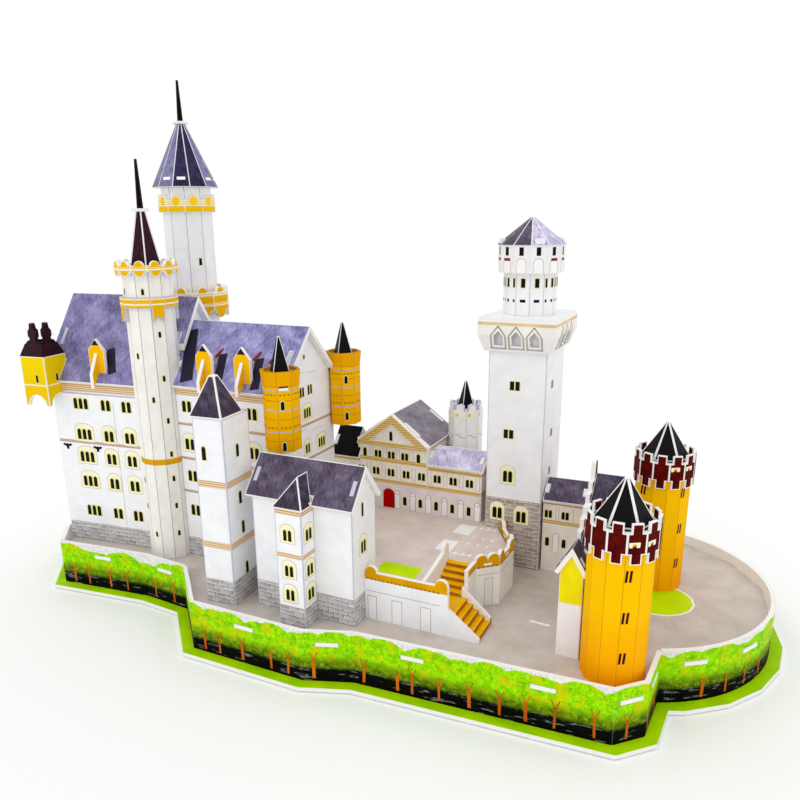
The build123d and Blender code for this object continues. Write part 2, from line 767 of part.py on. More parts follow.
finial_low = turret_top + turret_shoulder_rise - 1
with BuildPart() as corner_turret_roof:
    pyramid(turret_mid, turret_top, turret_size / sqrt(2), 4, turret_shoulder_rise, turret_shoulder, 45)
    for face in facet_faces(turret_mid, finial_out, 4, 45):
        with BuildSketch(face):
            with BuildLine():
                Polyline((-5.6, finial_low), (5.6, finial_low), (4.6, finial_low + 2), (2.2, finial_low + 2.6),
                         (2.2, finial_low + 4), (-2.2, finial_low + 4), (-2.2, finial_low + 2.6),
                         (-4.6, finial_low + 2), close=True)
            make_face()
            with Locations((0, turret_apex - 5.6)):
                RegularPolygon(radius=3.3, side_count=8, rotation=22.5)
            with BuildLine():
                Polyline((-1.9, turret_apex - 4), (1.9, turret_apex - 4), (1.2, turret_apex),
                         (-1.2, turret_apex), close=True)
            make_face()
        extrude(amount=-board)
save(corner_turret_roof, "corner_turret_roof")

# Gable turrets: octagon rings with a flared rim, notched over the corners of the east block

with BuildPart() as gable_turrets:
    for place in gable_turrets_at:
        collar(place, gable_turret_radius, 8, gable_turret_foot, gable_turret_bend, 22.5, gable_turret_wall)
        for inset, mode in ((0, Mode.ADD), (gable_turret_wall / cos(pi / 8), Mode.SUBTRACT)):
            with BuildSketch(place.offset(gable_turret_bend)) as bend:
                RegularPolygon(radius=gable_turret_radius - inset, side_count=8, rotation=22.5)
            with BuildSketch(place.offset(gable_turret_top)) as rim:
                RegularPolygon(radius=gable_turret_flare - inset, side_count=8, rotation=22.5)
            loft([bend.sketch, rim.sketch], mode=mode)
        seat_ring(place, gable_turret_radius - gable_turret_wall / 2, 8, 0, gable_turret_deck, 22.5)
    cut_house(*east_house)
save(gable_turrets, "gable_turrets")

# Stair tower: shaft, drip-edged corbel, battlement, cone

with BuildPart() as stair_tower:
    collar(stair_ground, stair_radius, stair_sides, floor_height, stair_top, stair_turn)
save(stair_tower, "stair_tower")

corbel_radius = stair_radius + (board + fit) / cos(pi / stair_sides)


def corbel_fangs():
    """A swallow-tailed tab that hangs under the corbel."""
    with BuildLine() as outline:
        Polyline((-3.3, corbel_low + 1), (3.3, corbel_low + 1), (3.0, corbel_low - corbel_drip),
                 (0, corbel_low - corbel_drip * 0.5), (-3.0, corbel_low - corbel_drip), close=True)
    make_face(outline.edges())


with BuildPart() as stair_tower_corbel:
    collar(stair_ground, corbel_radius, stair_sides, corbel_low, corbel_high, stair_turn)
    outline_on_facets(stair_ground, corbel_radius, stair_sides, corbel_fangs,
                      stair_turn + 360 / stair_sides, 3)
save(stair_tower_corbel, "stair_tower_corbel")

battlement_top = stair_top + battlement_height


def battlement_outline():
    arch(0, battlement_top - 1, 5.0, 2.4 + 1)
    arch(0, stair_top + 1, 5.8, -2.4 - 1)


with BuildPart() as stair_tower_battlement:
    collar(stair_ground, battlement_radius, stair_sides, stair_top, battlement_top, stair_turn)
    outline_on_facets(stair_ground, battlement_radius, stair_sides, battlement_outline, stair_turn)
    seat_ring(stair_ground, battlement_radius - board, stair_sides, 5, stair_top, stair_turn)
save(stair_tower_battlement, "stair_tower_battlement")

with BuildPart() as stair_tower_cone:
    pyramid(stair_ground, stair_top + board, stair_cone_radius, 6, stair_cone_height, cone_tip, stair_cone_turn)
save(stair_tower_cone, "stair_tower_cone")

# North tower: shaft, balcony on a seat ring, gallery, roof

with BuildPart() as north_tower:
    collar(north_ground, north_radius, north_sides, floor_height, north_top, north_turn)
save(north_tower, "north_tower")

north_hole = north_radius + fit / cos(pi / north_sides)


def balcony_outline():
    arch(0, balcony_high - 1, 6.0, 3.2 + 1)
    arch(0, balcony_low + 1, 9.4, -4.8 - 1)


with BuildPart() as north_balcony:
    collar(north_ground, balcony_radius, north_sides, balcony_low, balcony_high, north_turn)
    outline_on_facets(north_ground, balcony_radius, north_sides, balcony_outline, north_turn)
    seat_ring(north_ground, balcony_radius - board, north_sides, north_hole, balcony_low, north_turn)
save(north_balcony, "north_balcony")


def gallery_outline():
    arch(0, gallery_high - 1, 6.0, 3.2 + 1)


gallery_radius = north_hole + board / cos(pi / north_sides)
with BuildPart() as north_gallery:
    collar(north_ground, gallery_radius, north_sides, gallery_low, gallery_high, north_turn)
    outline_on_facets(north_ground, gallery_radius, north_sides, gallery_outline, north_turn)
save(north_gallery, "north_gallery")

with BuildPart() as north_roof:
    pyramid(north_ground, north_top, north_roof_radius, 12, north_roof_height, cone_tip, north_roof_turn,
            north_radius - 2 * board)
save(north_roof, "north_roof")

# Spires: two crossed slender plates standing in a disc, one on each pointed roof

with BuildPart() as spires:
    for ground, low, height in ((stair_ground, stair_top + board + stair_cone_height, stair_spike),
                                (north_ground, north_top + north_roof_height, north_spike)):
        with BuildSketch(ground.offset(low)):
            Circle(disc_radius)
        extrude(amount=disc_thickness)
        for face in (front_face(ground), side_face(ground)):
            with BuildSketch(face):
                with BuildLine():
                    Polyline((-spike_foot, low), (spike_foot, low), (spike_tip, low + height),
                             (-spike_tip, low + height), close=True)
                make_face()
            extrude(amount=spike_card / 2, both=True)
save(spires, "spires")

# White tower

white = plot(white_x, white_y, white_turn)
white_roof_mid = Plane(origin=white.from_local_coords((white_roof_side / 2 - white_roof_left,
                                                       white_roof_side / 2 - white_roof_front, 0)),
                       x_dir=white.x_dir, z_dir=(0, 0, 1))
with BuildPart() as white_tower:
    with BuildSketch(white.offset(floor_height)):
        corner_box(0, 0, white_width, white_depth)
        corner_box(board, board, white_width - 2 * board, white_depth - 2 * board, Mode.SUBTRACT)
    extrude(amount=white_top - floor_height)
save(white_tower, "white_tower")

with BuildPart() as white_tower_roof:
    pyramid(white_roof_mid, white_top, white_roof_side / sqrt(2), 4, white_roof_height, white_roof_tip, 45,
            white_roof_side / 4)
    with BuildSketch(white.offset(white_top - board)):
        corner_box(board + fit, board + fit, white_width - 2 * (board + fit), white_depth - 2 * (board + fit))
    extrude(amount=board)
save(white_tower_roof, "white_tower_roof")

# Kemenate and its oriel

kemenate = plot(kemenate_x, kemenate_y)
kemenate_house = (kemenate, kemenate_length, kemenate_depth, floor_height, kemenate_eave, kemenate_ridge)
oriel = plot(kemenate_x + oriel_at, kemenate_y - oriel_depth)
oriel_reach = oriel_depth + kemenate_depth / 2


def hipped(inset):
    """The hull of the oriel's roof, or with an inset the hollow under its card."""
    rise = oriel_roof_rise
    half = oriel_width / 2 + oriel_eaves
    side_slope = rise / half
    front_slope = rise / (oriel_hip + oriel_eaves)
    half = half - inset * sqrt(1 + 1 / side_slope ** 2)
    front = inset * sqrt(1 + 1 / front_slope ** 2) - oriel_eaves
    ridge = oriel_eave + half * side_slope
    with BuildPart() as hull:
        with BuildSketch(front_face(oriel, oriel_reach)) as profile:
            with BuildLine() as outline:
                Polyline((oriel_width / 2 - half, oriel_eave), (oriel_width / 2 + half, oriel_eave),
                         (oriel_width / 2, ridge), close=True)
            make_face(outline.edges())
        extrude(profile.sketch, amount=oriel_reach - front)
        with BuildSketch(side_face(oriel, -oriel_eaves)) as profile:
            with BuildLine() as outline:
                Polyline((front, oriel_eave), (front + rise / front_slope, oriel_eave + rise),
                         (oriel_reach, oriel_eave + rise), (oriel_reach, oriel_eave), close=True)
            make_face(outline.edges())
        extrude(profile.sketch, amount=oriel_width + 2 * oriel_eaves, mode=Mode.INTERSECT)
    return hull.part


def cut_eave():
    """Cut the room of the kemenate's overhanging eave on either side of the oriel."""
    room = eaves_overhang + board + fit
    for start in (0, oriel_at + oriel_width + fit):
        cut_box(kemenate, (start, -room), (start + oriel_at - fit, board), floor_height, kemenate_eave + board + fit)


with BuildPart() as kemenate_walls:
    gabled_walls(*kemenate_house)
save(kemenate_walls, "kemenate_walls")

with BuildPart() as kemenate_roof:
    gabled_roof(kemenate, kemenate_length, kemenate_depth, kemenate_eave, kemenate_ridge, 2.0, 2.0)
    cut_box(kemenate, (oriel_at - fit, -oriel_depth), (oriel_at + oriel_width + fit, 0), floor_height, north_top)
save(kemenate_roof, "kemenate_roof")

with BuildPart() as oriel_walls:
    with BuildSketch(oriel.offset(floor_height)):
        corner_box(0, 0, oriel_width, oriel_depth - fit)
        corner_box(board, board, oriel_width - 2 * board, oriel_depth - fit - 2 * board, Mode.SUBTRACT)
    extrude(amount=oriel_eave - floor_height)
save(oriel_walls, "oriel_walls")

oriel_hull = hipped(0)
oriel_hollow = hipped(board)
with BuildPart() as oriel_roof:
    add(oriel_hull)
    add(oriel_hollow, mode=Mode.SUBTRACT)
    cut_house(*kemenate_house, grow=board + fit)
    cut_eave()
save(oriel_roof, "oriel_roof")

# Knights' house: a gabled hall between two wings

hall = plot(middle_end, wing_y, 90)
hall_width = middle_end - middle_start
hall_house = (hall, middle_depth, hall_width, court_height, middle_eave, middle_ridge)
west_wing = plot(wing_x, wing_y)
east_wing = plot(middle_end + fit, wing_y)
wings = [(west_wing, middle_start - fit - wing_x, wing_depth, court_height, wing_eave, west_wing_ridge),
         (east_wing, wing_end - middle_end - fit, wing_depth, court_height, wing_eave, wing_ridge)]
round_ground = plot(round_x, round_y)

with BuildPart() as knights_hall:
    gabled_walls(*hall_house)
save(knights_hall, "knights_hall")

with BuildPart() as knights_hall_roof:
    gabled_roof(hall, middle_depth, hall_width, middle_eave, middle_ridge, 0, 2.0, hall_eaves)
    cut_tower(round_ground, round_radius, round_sides, court_height, north_top, 22.5)
save(knights_hall_roof, "knights_hall_roof")


def room_for_hall_eaves():
    """The wings stop short under the eaves of the hall."""
    room = hall_eaves + board + fit
    cut_box(survey, (middle_start - room, wing_y - room), (middle_end + room, wing_y + middle_depth),
            middle_eave - board, north_top)


with BuildPart() as knights_wings:
    for wing in wings:
        gabled_walls(*wing)
    room_for_hall_eaves()
save(knights_wings, "knights_wings")

with BuildPart() as knights_wing_roofs:
    gabled_roof(west_wing, wings[0][1], wing_depth, wing_eave, west_wing_ridge, 0, 0)
    gabled_roof(east_wing, wings[1][1], wing_depth, wing_eave, wing_ridge, 0, 1.5)
    room_for_hall_eaves()
save(knights_wing_roofs, "knights_wing_roofs")

pediment_low = middle_eave - 2
pediment_slope = (middle_ridge - middle_eave) / (hall_width / 2)
with BuildPart() as knights_pediment:
    with BuildSketch(front_face(plot(middle_start, wing_y))):
        with BuildLine():
            Polyline((-1, pediment_low), (hall_width + 1, pediment_low), (hall_width + 1, middle_eave),
                     (hall_width / 2, middle_ridge + board), (-1, middle_eave), close=True)
        make_face()
        with BuildLine():
            Polyline((pediment_frame * 2.4, middle_eave + pediment_frame * 0.4),
                     (hall_width - pediment_frame * 2.4, middle_eave + pediment_frame * 0.4),
                     (hall_width / 2, middle_ridge - pediment_frame), close=True)
        make_face(mode=Mode.SUBTRACT)
    extrude(amount=board)
save(knights_pediment, "knights_pediment")

# Round tower behind the east wing

with BuildPart() as round_tower:
    collar(round_ground, round_radius, round_sides, court_height, round_top, 22.5)
    outline_on_facets(round_ground, round_radius, round_sides,
                      lambda: point(0, round_top - 1, 4.6, round_merlon + 1, round_merlon), 22.5)
    seat_ring(round_ground, round_radius - board, round_sides, 0, round_top - board, 22.5)
save(round_tower, "round_tower")

# Turret spires: three small dark pyramids

with BuildPart() as turret_spires:
    for ground in gable_turrets_at:
        pyramid(ground, gable_turret_deck + board, gable_spire_radius, 4, gable_spire_height, 0.8)
    pyramid(round_ground, round_top, round_spire_radius, 4, round_spire_height, 0.8)
save(turret_spires, "turret_spires")

# Square tower: shaft, flared cornice with pointed arches, drum, crown, roof

square = plot(square_x, square_y)
square_mid = plot(square_x + square_width / 2, square_y + square_depth / 2)
with BuildPart() as square_tower:
    with BuildSketch(square.offset(floor_height)):
        corner_box(0, 0, square_width, square_depth)
        corner_box(board, board, square_width - 2 * board, square_depth - 2 * board, Mode.SUBTRACT)
    extrude(amount=square_top - floor_height)
save(square_tower, "square_tower")

with BuildPart() as square_cornice:
    flare = [(cornice_low, 0.0), (cornice_bend, cornice_out), (square_top, cornice_out)]
    for (low, spread), (high, wider) in zip(flare, flare[1:]):
        for level, grow in ((low, spread), (high, wider)):
            with BuildSketch(square_mid.offset(level)):
                Rectangle(square_width + 2 * (grow + board + fit), square_depth + 2 * (grow + board + fit))
        loft()
    for (low, spread), (high, wider) in zip(flare, flare[1:]):
        for level, grow in ((low, spread), (high, wider)):
            with BuildSketch(square_mid.offset(level)):
                Rectangle(square_width + 2 * (grow + fit), square_depth + 2 * (grow + fit))
        loft(mode=Mode.SUBTRACT)
    for face in facet_faces(square_mid, square_depth / 2 + cornice_out + 2 * board, 4, 45):
        with BuildSketch(face):
            for along in (-arch_pitch, 0, arch_pitch):
                point(along, cornice_low + arch_sill, arch_width, arch_rise, arch_shoulder)
        extrude(amount=-(cornice_out + 4 * board), mode=Mode.SUBTRACT)
save(square_cornice, "square_cornice")

with BuildPart() as square_slab:
    with BuildSketch(square_mid.offset(square_top)):
        Rectangle(square_width + 2 * (cornice_out + board), square_depth + 2 * (cornice_out + board))
    extrude(amount=board)
save(square_slab, "square_slab")

drum_low = square_top + board
drum_turn = 180 / drum_sides
with BuildPart() as square_drum:
    collar(square_mid, drum_radius, drum_sides, drum_low, drum_top, drum_turn)
save(square_drum, "square_drum")

crown_tab = 5.0
crown_low = drum_top - crown_drop
with BuildPart() as square_crown:
    collar(square_mid, crown_radius, drum_sides, crown_low, drum_top, drum_turn)
    seat_ring(square_mid, crown_radius - board, drum_sides, drum_radius + fit / cos(pi / drum_sides), crown_low,
              drum_turn)
    outline_on_facets(square_mid, crown_radius, drum_sides,
                      lambda: corner_box(-crown_tab / 2, drum_top - 1, crown_tab, 4.5), drum_turn, 3)
save(square_crown, "square_crown")

with BuildPart() as square_roof:
    pyramid(square_mid, drum_top, crown_roof_radius, drum_sides, crown_roof_height, 0.8, drum_turn,
            drum_radius - 2 * board)
    for face in facet_faces(square_mid, crown_radius * cos(pi / drum_sides) + fit, drum_sides, drum_turn, 3):
        with BuildSketch(face):
            corner_box(-crown_tab / 2 - fit, drum_top - 1, crown_tab + 2 * fit, 9)
        extrude(amount=-(board + 2 * fit), mode=Mode.SUBTRACT)
save(square_roof, "square_roof")

# Link house

link = plot(link_x, link_y, link_turn)
with BuildPart() as link_walls:
    gabled_walls(link, link_length, link_depth, floor_height, link_eave, link_ridge)
save(link_walls, "link_walls")

with BuildPart() as link_roof:
    gabled_roof(link, link_length, link_depth, link_eave, link_ridge, 0, 1.5)
save(link_roof, "link_roof")

# Gatehouse: a crow-stepped gable at the court end, the roof lapping the plain gable at the gate end

gate = plot(gate_x, gate_y)
with BuildPart() as gatehouse_walls:
    gabled_walls(gate, gate_length, gate_depth, floor_height, gate_eave, gate_ridge)
    step_run = gate_depth / 2 / (gate_steps + 0.5)
    stepped = [(0, floor_height)]
    for n in range(gate_steps + 1):
        level = gate_step_low + n * gate_step_rise
        stepped += [(n * step_run, level), ((n + 1) * step_run, level)]
    stepped[-1] = (gate_depth / 2, level)
    for mirrored in (False, True):
        with BuildSketch(side_face(gate)):
            with BuildLine():
                Polyline(*[(gate_depth - v if mirrored else v, z) for v, z in stepped],
                         (gate_depth / 2, floor_height), close=True)
            make_face()
        extrude(amount=board)
    with BuildSketch(side_face(gate)):
        arch(gate_depth / 2, level - 1, 4.4, gate_finial + 1)
    extrude(amount=board)
save(gatehouse_walls, "gatehouse_walls")

with BuildPart() as gatehouse_roof:
    slope = (gate_ridge - gate_eave) / (gate_depth / 2)
    up = board * sqrt(1 + slope * slope)
    with BuildSketch(side_face(gate, board + fit)):
        with BuildLine():
            Polyline((0, gate_eave), (gate_depth / 2, gate_ridge), (gate_depth, gate_eave),
                     (gate_depth, gate_eave + up), (gate_depth / 2, gate_ridge + up), (0, gate_eave + up), close=True)
        make_face()
    extrude(amount=gate_length - board - fit)
    with BuildSketch(side_face(gate, gate_length - board - fit)):
        slope_tab(gate_depth, gate_eave, gate_ridge, board, fit)
    extrude(amount=board + 2 * fit, mode=Mode.SUBTRACT)
save(gatehouse_roof, "gatehouse_roof")

# Gate lodge

lodge = plot(lodge_x + lodge_width, lodge_y, 90)
gate_grounds = [plot(*place) for place in gate_towers_at]
gate_turn = 180 / gate_tower_sides
with BuildPart() as gate_lodge:
    gabled_walls(lodge, lodge_depth, lodge_width, floor_height, lodge_eave, lodge_ridge)
save(gate_lodge, "gate_lodge")

with BuildPart() as lodge_roof:
    gabled_roof(lodge, lodge_depth, lodge_width, lodge_eave, lodge_ridge, 1.5, 0, 0.6)
    cut_tower(gate_grounds[0], gate_tower_radius, gate_tower_sides, floor_height, north_top, gate_turn)
save(lodge_roof, "lodge_roof")

# Gate towers

with BuildPart() as gate_towers:
    for ground in gate_grounds:
        collar(ground, gate_tower_radius, gate_tower_sides, floor_height, gate_tower_top, gate_turn)
save(gate_towers, "gate_towers")

gate_collar_radius = gate_tower_radius + (collar_wall + fit) / cos(pi / gate_tower_sides)


def gate_outline():
    corner_box(-merlon_width / 2, collar_high - 1, merlon_width, merlon_rise + 1)
    corner_box(-merlon_width / 2, collar_low - drop_tab, merlon_width, drop_tab + 1)


with BuildPart() as gate_collars:
    for ground in gate_grounds:
        collar(ground, gate_collar_radius, gate_tower_sides, collar_low, collar_high, gate_turn, collar_wall)
        outline_on_facets(ground, gate_collar_radius, gate_tower_sides, gate_outline, gate_turn, 1, collar_wall)
save(gate_collars, "gate_collars")

with BuildPart() as gate_roofs:
    for ground in gate_grounds:
        seat_ring(ground, gate_tower_radius, gate_tower_sides, 4, gate_tower_top, gate_turn)
        pyramid(ground, gate_tower_top + board, gate_roof_radius, 6, gate_roof_height, 0.8, gate_roof_turn)
save(gate_roofs, "gate_roofs")
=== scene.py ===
# %% [markdown]
# # A castle folded from printed foam card
#
# The real object is a flat sheet of foam card, printed on one side, punched out, folded and slotted
# together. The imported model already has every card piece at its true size. What it lacks is the print.
# This lesson lays the print on it, and it does so the way the factory does: a thin paper sheet is glued
# to each flat side of the card, and stops a little short of the cut edge, so that the white core shows.

import math
import random

import bmesh
import bpy
from mathutils import Matrix, Vector
from mathutils.bvhtree import BVHTree


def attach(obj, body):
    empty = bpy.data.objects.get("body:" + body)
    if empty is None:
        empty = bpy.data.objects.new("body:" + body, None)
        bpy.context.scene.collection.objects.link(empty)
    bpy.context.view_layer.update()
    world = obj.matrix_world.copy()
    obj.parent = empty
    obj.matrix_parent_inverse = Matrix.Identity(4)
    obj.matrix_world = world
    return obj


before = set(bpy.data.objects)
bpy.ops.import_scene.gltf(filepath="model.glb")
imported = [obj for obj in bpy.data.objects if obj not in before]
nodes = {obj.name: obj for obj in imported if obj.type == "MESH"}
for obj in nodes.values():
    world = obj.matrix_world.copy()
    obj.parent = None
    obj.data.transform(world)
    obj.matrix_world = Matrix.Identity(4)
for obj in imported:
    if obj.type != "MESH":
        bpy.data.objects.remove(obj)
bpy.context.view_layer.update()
mm = 0.001

# %% [markdown]
# ## Colours and nodes
#
# Colours are written as sRGB hex values, as a paint chart gives them. Blender's sockets want linear
# values, so one function turns them. A second small function adds a shader node with its settings and
# links, and the colour stops of a ramp. Everything else about a material is then said in plain lines.

# %% Two helpers for materials


def linear(hex_colour):
    """An sRGB hex colour as the linear values that a socket takes."""
    parts = [int(hex_colour[n:n + 2], 16) / 255 for n in (1, 3, 5)]
    return [c / 12.92 if c <= 0.04045 else ((c + 0.055) / 1.055) ** 2.4 for c in parts] + [1.0]


def add(tree, kind, inputs=None, stops=(), **settings):
    """Add one node to a tree, set its properties and colour stops, and set or link its inputs."""
    made = tree.nodes.new(kind)
    for name, value in settings.items():
        setattr(made, name, value)
    for name, value in (inputs or {}).items():
        if isinstance(value, bpy.types.NodeSocket):
            tree.links.new(value, made.inputs[name])
        else:
            made.inputs[name].default_value = value
    if stops:
        elements = made.color_ramp.elements
        while len(elements) < len(stops):
            elements.new(0.5)
        for element, (place, colour) in zip(elements, stops):
            element.position = place
            element.color = linear(colour)
    return made


# %% [markdown]
# ## The foam card itself
#
# Foam card is a light plastic foam between two sheets of paper. Cut edges and unprinted backs are a
# soft, slightly warm white, never pure, with a fine grain from the foam cells. The print is offset ink
# under a thin satin varnish: it is a little smoother than the card. Both come from one function, which
# takes a recipe for the colour and adds what all paper has: a faint mottle, and fine fibres in the bump.

# %% Paper finish shared by every material
# Real paper fibres are some 0.03 mm thick. These are as coarse as they need to be to show at all.
fibre = 0.35 * mm
fibre_height = 0.05 * mm
mottle = 9.0 * mm
mottling = 0.05
varnish_ior = 1.47
materials = {}


def paper(name, colour, roughness=0.55, bump=0.25, shine=0.12):
    """A paper surface. Colour is a hex value or a recipe that returns a colour socket."""
    material = bpy.data.materials.new(name)
    material.use_nodes = True
    tree = material.node_tree
    tree.nodes.clear()
    place = add(tree, "ShaderNodeTexCoord").outputs["Object"]
    if callable(colour):
        ink = colour(tree, place)
    else:
        ink = add(tree, "ShaderNodeRGB").outputs[0]
        ink.default_value = linear(colour)
    clouds = add(tree, "ShaderNodeTexNoise", {"Vector": place, "Scale": 1 / mottle, "Detail": 4.0})
    shade = add(tree, "ShaderNodeMapRange", {"Value": clouds.outputs[0], "To Min": 1 - mottling,
                                             "To Max": 1 + mottling / 2})
    varied = add(tree, "ShaderNodeVectorMath", {0: ink, 1: shade.outputs[0]}, operation="MULTIPLY")
    grain = add(tree, "ShaderNodeTexNoise", {"Vector": place, "Scale": 1 / fibre, "Detail": 3.0})
    relief = add(tree, "ShaderNodeBump", {"Height": grain.outputs[0], "Strength": bump,
                                          "Distance": fibre_height})
    gloss = add(tree, "ShaderNodeMapRange", {"Value": clouds.outputs[0], "To Min": roughness - 0.06,
                                             "To Max": roughness + 0.08})
    surface = add(tree, "ShaderNodeBsdfPrincipled", {"Base Color": varied.outputs[0],
                                                     "Roughness": gloss.outputs[0], "IOR": varnish_ior,
                                                     "Normal": relief.outputs[0],
                                                     "Specular IOR Level": shine})
    add(tree, "ShaderNodeOutputMaterial", {"Surface": surface.outputs[0]})
    materials[name] = material


# Bare foam card, punched: dull and slightly warm, so every cut edge draws a white outline.
paper("foam_card_white", "#F4F3F1", 0.7, 0.4)
# Card of folded walls: the crease shows as a thin lilac line on white walls, a painted shade in the fold.
paper("crease_shade_lilac", "#C9C8D6", 0.7, 0.4)
# The same painted crease shade on the round towers, in grey.
paper("crease_shade_grey", "#96928C", 0.7, 0.4)
# The same painted crease shade on golden card, where it turns olive.
paper("crease_shade_olive", "#B98A1E", 0.7, 0.4)
# Card inked through to its edge, for spikes too thin to show a white core: nearly black, warm in light.
paper("inked_spike_card", "#1A0C0B", 0.6, 0.3)
# Fretwork card inked in dark maroon on every side.
paper("inked_finial_card", "#2A0F12", 0.6, 0.3)
print("card and fold materials:", list(materials))

# %% [markdown]
# ## Rulers on the card
#
# To print on a card piece we need its flat sides. The function below copies a card piece's mesh, merges
# its loose triangles, and walks from triangle to triangle while the plane stays the same. Each flat side
# gets a ruler of its own: u runs to the right as you look at it, and v runs up. On an upright wall v is
# the height above the table, so a window is placed as a mason would say it. Only the side that faces
# away from the piece's own inside is printed, and a ray cast along the normal tells which one that is.

# %% One flat side of a card piece


class Flat:
    """One flat side of a card piece, with a ruler along it and a ruler up it."""

    def __init__(self, faces):
        self.polygons = [[v.co.copy() for v in f.verts] for f in faces]
        self.normal = faces[0].normal.copy()
        level = abs(self.normal.z) > 0.99
        self.right = Vector((1, 0, 0)) if level else Vector((0, 0, 1)).cross(self.normal).normalized()
        self.up = self.normal.cross(self.right)
        corners = [c for polygon in self.polygons for c in polygon]
        self.left = min(c.dot(self.right) for c in corners)
        self.width = max(c.dot(self.right) for c in corners) - self.left
        self.centre = self.width / mm / 2
        self.low = min(c.dot(self.up) for c in corners)
        self.high = max(c.dot(self.up) for c in corners)
        upright = abs(self.normal.z) < 0.01
        self.base = 0.0 if upright or level else self.low
        if level:
            self.left = 0.0
        self.depth = self.normal.dot(corners[0])
        self.area = sum(f.calc_area() for f in faces)
        inside = set(f.index for f in faces)
        self.outline = sum(e.calc_length() for f in faces for e in f.edges
                           if sum(g.index in inside for g in e.link_faces) == 1)
        self.middle = max(faces, key=lambda f: f.calc_area()).calc_center_median()
        self.facing = math.degrees(math.atan2(self.normal.x, -self.normal.y))

    def at(self, u, v, lift=0.0):
        """The point u to the right and v up, in metres."""
        return self.right * (self.left + u) + self.up * (self.base + v) + self.normal * (self.depth + lift)


# %% Tell the outer side of a card from its inner side
reach = 95 * mm
skin = 0.05 * mm


def loose_parts(mesh):
    """Number the loose parts of a mesh, so that one tower isn't tested against its twin."""
    number = {}
    for first in mesh.faces:
        waiting = [] if first.index in number else [first]
        while waiting:
            face = waiting.pop()
            number[face.index] = first.index
            waiting += [near for edge in face.edges for near in edge.link_faces if near.index not in number]
    return number


def looks_out(tree, number, flat, home):
    """A side looks out if nothing of its own card stands in front of it."""
    start, left = flat.middle + flat.normal * skin, reach
    while left > 0:
        place, _, index, away = tree.ray_cast(start, flat.normal, left)
        if place is None:
            return True
        if number[index] == home:
            return False
        start, left = place + flat.normal * skin, left - away - skin
    return True


# %% Find the flat sides of every card piece
weld = 0.004 * mm
speck = 1e-12
flat_cosine = 0.9999


def flats_of(name, smallest):
    """The flat, printable sides of a card piece, and whether each one faces out."""
    mesh = bmesh.new()
    mesh.from_mesh(nodes[name].data)
    bmesh.ops.remove_doubles(mesh, verts=mesh.verts, dist=weld)
    mesh.faces.ensure_lookup_table()
    mesh.faces.index_update()
    mesh.normal_update()
    tree = BVHTree.FromBMesh(mesh)
    number = loose_parts(mesh)
    seen = set()
    found = []
    for first in mesh.faces:
        if first.index in seen or first.calc_area() < speck:
            continue
        group, waiting = [], [first]
        seen.add(first.index)
        while waiting:
            face = waiting.pop()
            group.append(face)
            for near in (near for edge in face.edges for near in edge.link_faces):
                if near.index not in seen and near.normal.dot(first.normal) > flat_cosine:
                    seen.add(near.index)
                    waiting.append(near)
        flat = Flat(group)
        if 2 * flat.area / flat.outline > smallest * mm:
            flat.outward = looks_out(tree, number, flat, number[first.index])
            found.append(flat)
    mesh.free()
    return found


# A cut edge of 2 mm card is never wider than this, so it stays bare. The pieces named below have
# printed facets that are narrower still.
edge_width = 2.05
narrow = {"spires": 0.4, "turret_spires": 1.2, "upper_stair": 1.6, "corner_turret_roof": 1.7,
          "square_roof": 1.2, "stair_tower_cone": 1.2, "gate_collars": 1.6, "north_roof": 1.6,
          "skirt_forecourt": 1.3}
flats = {name: flats_of(name, narrow.get(name, edge_width)) for name in sorted(nodes)}
print(sum(len(f) for f in flats.values()), "printable sides")

# %% [markdown]
# ## Laying a sheet of print
#
# A sheet follows the outline of each flat side, pulled in by a small margin. Pale sheets nearly reach
# the fold. Dark ones stop further back, which gives the white lines that make this kind of model easy
# to recognise. A wall's print comes in storeys, such as stone, plaster, a gold string course and plaster
# again, so a sheet is sliced at the heights where the print changes, and each slice gets its material.
# The sheet's own UV map holds the two rulers in metres, and the patterns read it.

# %% Cut the paper for one flat side
rim_sample = 40
corner_reach = 1.6


def hole_corners(part):
    """Corners of the slots in a flat sheet: every rim but the widest one.

    A dictionary keeps the mesh's own order, which a set doesn't, so every run gives the same sheet."""
    open_edges = dict.fromkeys(e for e in part.edges if len(e.link_faces) == 1)
    rims = []
    while open_edges:
        waiting = [open_edges.popitem()[0]]
        corners = {}
        while waiting:
            for corner in waiting.pop().verts:
                corners[corner] = corner.co.copy()
                for near in corner.link_edges:
                    if near in open_edges:
                        del open_edges[near]
                        waiting.append(near)
        rims.append(list(corners.values()))
    rims.sort(key=lambda rim: max((a - b).length for a in rim for b in rim[:rim_sample]), reverse=True)
    return [corner for rim in rims[1:] for corner in rim]


def cut_paper(flat, margin, heights):
    """The outline of a flat side, pulled in by a margin in mm and cut across at some heights.

    A tab fills its slot, so the print goes right up to a slot's corners."""
    part = bmesh.new()
    for polygon in flat.polygons:
        part.faces.new([part.verts.new(c) for c in polygon])
    bmesh.ops.remove_doubles(part, verts=part.verts, dist=weld)
    bmesh.ops.dissolve_limit(part, angle_limit=0.01, verts=part.verts, edges=part.edges)
    slot_corners = hole_corners(part)
    rim = bmesh.ops.inset_region(part, faces=part.faces, thickness=margin * mm, use_boundary=True,
                                 use_even_offset=True)
    bmesh.ops.delete(part, geom=rim["faces"], context="FACES")
    for corner in slot_corners:
        near = min(part.verts, key=lambda v: (v.co - corner).length)
        if (near.co - corner).length < corner_reach * margin * mm:
            near.co = corner
    for height in heights:
        if flat.low < height * mm + flat.base < flat.high:
            bmesh.ops.bisect_plane(part, geom=part.verts[:] + part.edges[:] + part.faces[:],
                                   plane_co=flat.at(0, height * mm), plane_no=flat.up)
    return part


